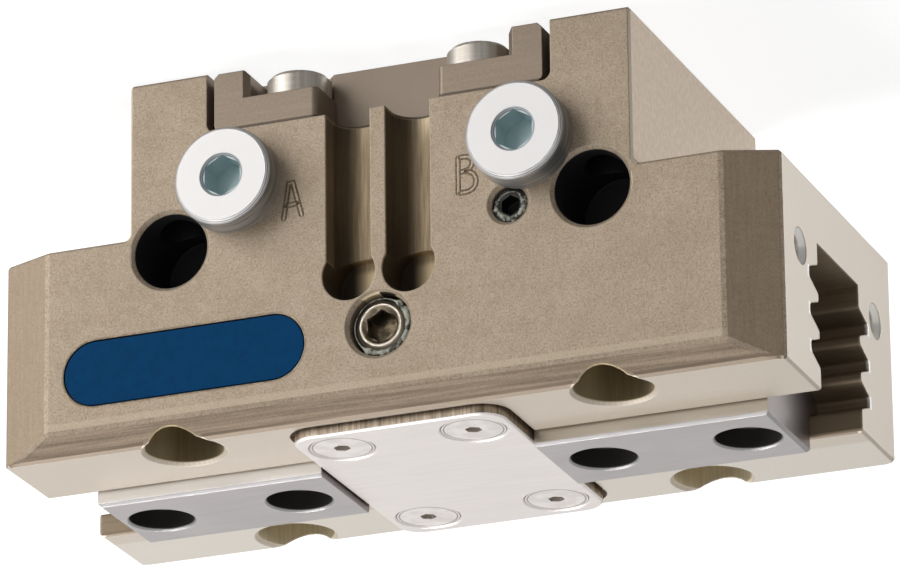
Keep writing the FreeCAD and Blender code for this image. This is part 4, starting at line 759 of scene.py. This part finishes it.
def make_letters():
    # Painted shade: the rims of the letters are painted dark.
    rim = small_finish("stamped_rim_shade", 0.3, 3000, (92, 76, 54), (124, 107, 84), (0.4, 0.55),
                       spread=(0.3, 0.7))
    floor = small_finish("stamped_floor", 0.5, 3000, (146, 129, 108), (176, 161, 141),
                         (0.4, 0.5), spread=(0.3, 0.7))
    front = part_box("label_plate")[0].y - 0.0001
    for letter, strokes in (("a", LETTER_A), ("b", LETTER_B)):
        for number, path in enumerate(strokes):
            points, faces, sides = sweep(stamp_rings(path, front))
            looks = [0 if side in STAMP_RIMS else 1 for side in sides]
            new_piece(f"port_letter_{letter}_{number}", points, faces, (rim, floor), looks,
                      "housing")


def thread(name, start, axis, depth, radius, pitch, height, finish, body):
    """A thread's ridge inside a hole, from start into the hole against the outward axis."""
    axis = Vector(axis)
    first = axis.orthogonal().normalized()
    second = axis.cross(first)
    steps = 24
    count = int(depth / pitch * steps) + 1
    root = radius + 0.04 * MM
    root_half = 0.42 * pitch
    crest_half = 0.2 * root_half
    rings = []
    for i in range(count):
        angle = 2 * math.pi * i / steps
        outward = math.cos(angle) * first + math.sin(angle) * second
        middle = Vector(start) - axis * (pitch * i / steps)
        crest = radius - height * min(1.0, (i + 1) / steps, (count - i) / steps)
        rings.append([middle + root * outward + root_half * axis,
                      middle + crest * outward + crest_half * axis,
                      middle + crest * outward - crest_half * axis,
                      middle + root * outward - root_half * axis])
    points, faces, _ = sweep(rings)
    new_piece(name, points, faces, (finish,), [0] * len(faces), body)


def make_threads():
    dark = small_finish("finger_thread_steel", 0.85, 2400, (52, 50, 48), (104, 101, 99),
                        (0.3, 0.45))
    bright = small_finish("end_thread", 0.8, 2400, (206, 200, 190), (232, 228, 220),
                          (0.25, 0.4))
    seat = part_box("base_jaw_a")[1].z - 0.0034
    end_start = 0.0534
    end_y, end_z = END_HOLE
    for letter, sign in (("a", 1), ("b", -1)):
        for number, x in enumerate(FINGER_HOLES):
            thread(f"finger_thread_{letter}_{number}", (sign * x, 0, seat), (0, 0, 1), 0.0080,
                   0.0025, 0.0010, 0.28 * MM, dark, f"jaw_{letter}")
        for side, y in (("front", -end_y), ("back", end_y)):
            thread(f"end_thread_{letter}_{side}", (sign * end_start, y, end_z), (sign, 0, 0),
                   0.0062, 0.0017, 0.0007, 0.2 * MM, bright, "housing")


# Section of the set thread-lock: across the ring, then in height, both as shares.
CRUST = ((-1.0, -0.2), (-0.9, 0.5), (-0.35, 1.0), (0.3, 0.9), (0.85, 0.5), (1.0, -0.2))


def crust(name, node, inner, outer, level, spans, finish, seed):
    """Set thread-lock: an uneven ring round a screw, thick over the given spans of angle.

    Radii and level, which is the y of the ring's seat, are in mm. A span is a middle and a half
    width in degrees.
    """
    chance = random.Random(seed)
    screw = centre(node) / MM
    steps = 96
    depth = 0.42
    fade = 25
    waves = [(chance.uniform(0, 2 * math.pi), count, chance.uniform(0.1, 0.35))
             for count in (3, 5, 8, 13, 21)]
    rings = []
    for i in range(steps):
        angle = 2 * math.pi * i / steps
        wave = sum(size * math.sin(count * angle + phase) for phase, count, size in waves)
        turned = math.degrees(angle)
        beyond = [max(0.0, abs((turned - at + 180) % 360 - 180) - half) for at, half in spans]
        near = max(0.0, 1 - min(beyond) / fade)
        thick = max(0.05, near * (0.75 + 0.5 * wave))
        swell = max(0.15, min(1.0, thick))
        middle = (inner + outer) / 2 + 0.12 * wave * (outer - inner) * near
        half_width = (outer - inner) / 2 * swell
        ring = []
        for across, height in CRUST:
            reach = middle + across * half_width * chance.uniform(0.85, 1.0)
            rise = depth * height * swell * chance.uniform(0.8, 1.15)
            ring.append(((screw.x - reach * math.cos(angle)) * MM, (level - rise) * MM,
                         (screw.z + reach * math.sin(angle)) * MM))
        rings.append(ring)
    points, faces, _ = sweep(rings, closed=True)
    piece = new_piece(name, points, faces, (finish,), [0] * len(faces), "housing")
    piece.data.polygons.foreach_set("use_smooth", [True] * len(faces))


def make_crusts():
    finish = Finish("set_thread_lock")
    patches = finish.noise(1500, detail=3)
    tint = finish.noise(500, detail=2)
    finish.base = finish.tones(finish.step(patches, 0.38, 0.56), (52, 54, 44), (178, 180, 166))
    finish.paint(finish.step(tint, 0.55, 0.7), (128, 146, 152), 0.5)
    finish.colour(finish.base)
    finish.rough(finish.blend(patches, 0.5, 0.3))
    finish.bump(patches, 0.0001, 0.6)
    crust("cap_screw_crust", "front_cap_screw", 3.15, 4.34, -23.95, ((15, 60), (95, 25)),
          finish, 7)
    crust("purge_screw_crust", "purge_screw", 1.25, 2.5, -24.08, ((25, 55), (150, 45)),
          finish, 11)


def lamp(name, direction, distance, size, level):
    """A soft square lamp; level is how bright a white surface that faces it looks."""
    data = bpy.data.lights.new(name, "AREA")
    data.size = size
    data.energy = level * math.pi ** 2 * distance ** 2
    # Lamps below the floor shine through it, so they are only sampled directly.
    data.cycles.use_multiple_importance_sampling = False
    light = bpy.data.objects.new(name, data)
    way = Vector(direction).normalized()
    light.location = TARGET + distance * way
    light.rotation_euler = way.to_track_quat("Z", "Y").to_euler()
    light.visible_camera = False
    bpy.context.scene.collection.objects.link(light)


def seen_levels(tree, camera, mirror, other):
    """A level for rays from the camera, one for mirror and see-through rays, one for the rest."""
    path = tree.nodes.new("ShaderNodeLightPath")
    total = None
    for ray, level in (("Is Camera Ray", camera), ("Is Glossy Ray", mirror),
                       ("Is Transmission Ray", mirror)):
        share = tree.nodes.new("ShaderNodeMath")
        share.operation = "MULTIPLY_ADD"
        tree.links.new(path.outputs[ray], share.inputs[0])
        share.inputs[1].default_value = level - other
        share.inputs[2].default_value = other
        if total is not None:
            tree.links.new(total, share.inputs[2])
        total = share.outputs[0]
    return total


def make_world():
    world = bpy.data.worlds.new("studio")
    bpy.context.scene.world = world
    world.use_nodes = True
    tree = world.node_tree
    background = tree.nodes["Background"]
    background.inputs["Color"].default_value = (1, 1, 1, 1)
    tree.links.new(seen_levels(tree, 1.0, 0.8, 0.06), background.inputs["Strength"])


def make_floor():
    half = 2.0
    height = -0.0003
    mesh = bpy.data.meshes.new("floor")
    corners = [(-half, -half, height), (half, -half, height), (half, half, height),
               (-half, half, height)]
    mesh.from_pydata(corners, [], [(0, 1, 2, 3)])
    floor = bpy.data.objects.new("floor", mesh)
    bpy.context.scene.collection.objects.link(floor)
    material = bpy.data.materials.new("pale_floor")
    material.use_nodes = True
    tree = material.node_tree
    tree.nodes.clear()
    paper = tree.nodes.new("ShaderNodeBsdfDiffuse")
    paper.inputs["Color"].default_value = (0.35, 0.35, 0.35, 1)
    glow = tree.nodes.new("ShaderNodeEmission")
    glow.inputs["Color"].default_value = (1, 1, 1, 1)
    tree.links.new(seen_levels(tree, 0.9, 0.15, 0.0), glow.inputs["Strength"])
    both = tree.nodes.new("ShaderNodeAddShader")
    tree.links.new(paper.outputs[0], both.inputs[0])
    tree.links.new(glow.outputs[0], both.inputs[1])
    output = tree.nodes.new("ShaderNodeOutputMaterial")
    tree.links.new(both.outputs[0], output.inputs["Surface"])
    mesh.materials.append(material)
    # The floor lets the low lamps through, so that light comes from the photograph's top.
    floor.visible_shadow = False


def light_studio():
    make_world()
    make_floor()
    for name, (direction, distance, size, level) in LAMPS.items():
        lamp(name, direction, distance, size, level)
    bpy.context.scene.view_settings.view_transform = "Standard"


make_camera()
light_studio()
dress_nodes()
make_letters()
make_threads()
make_crusts()
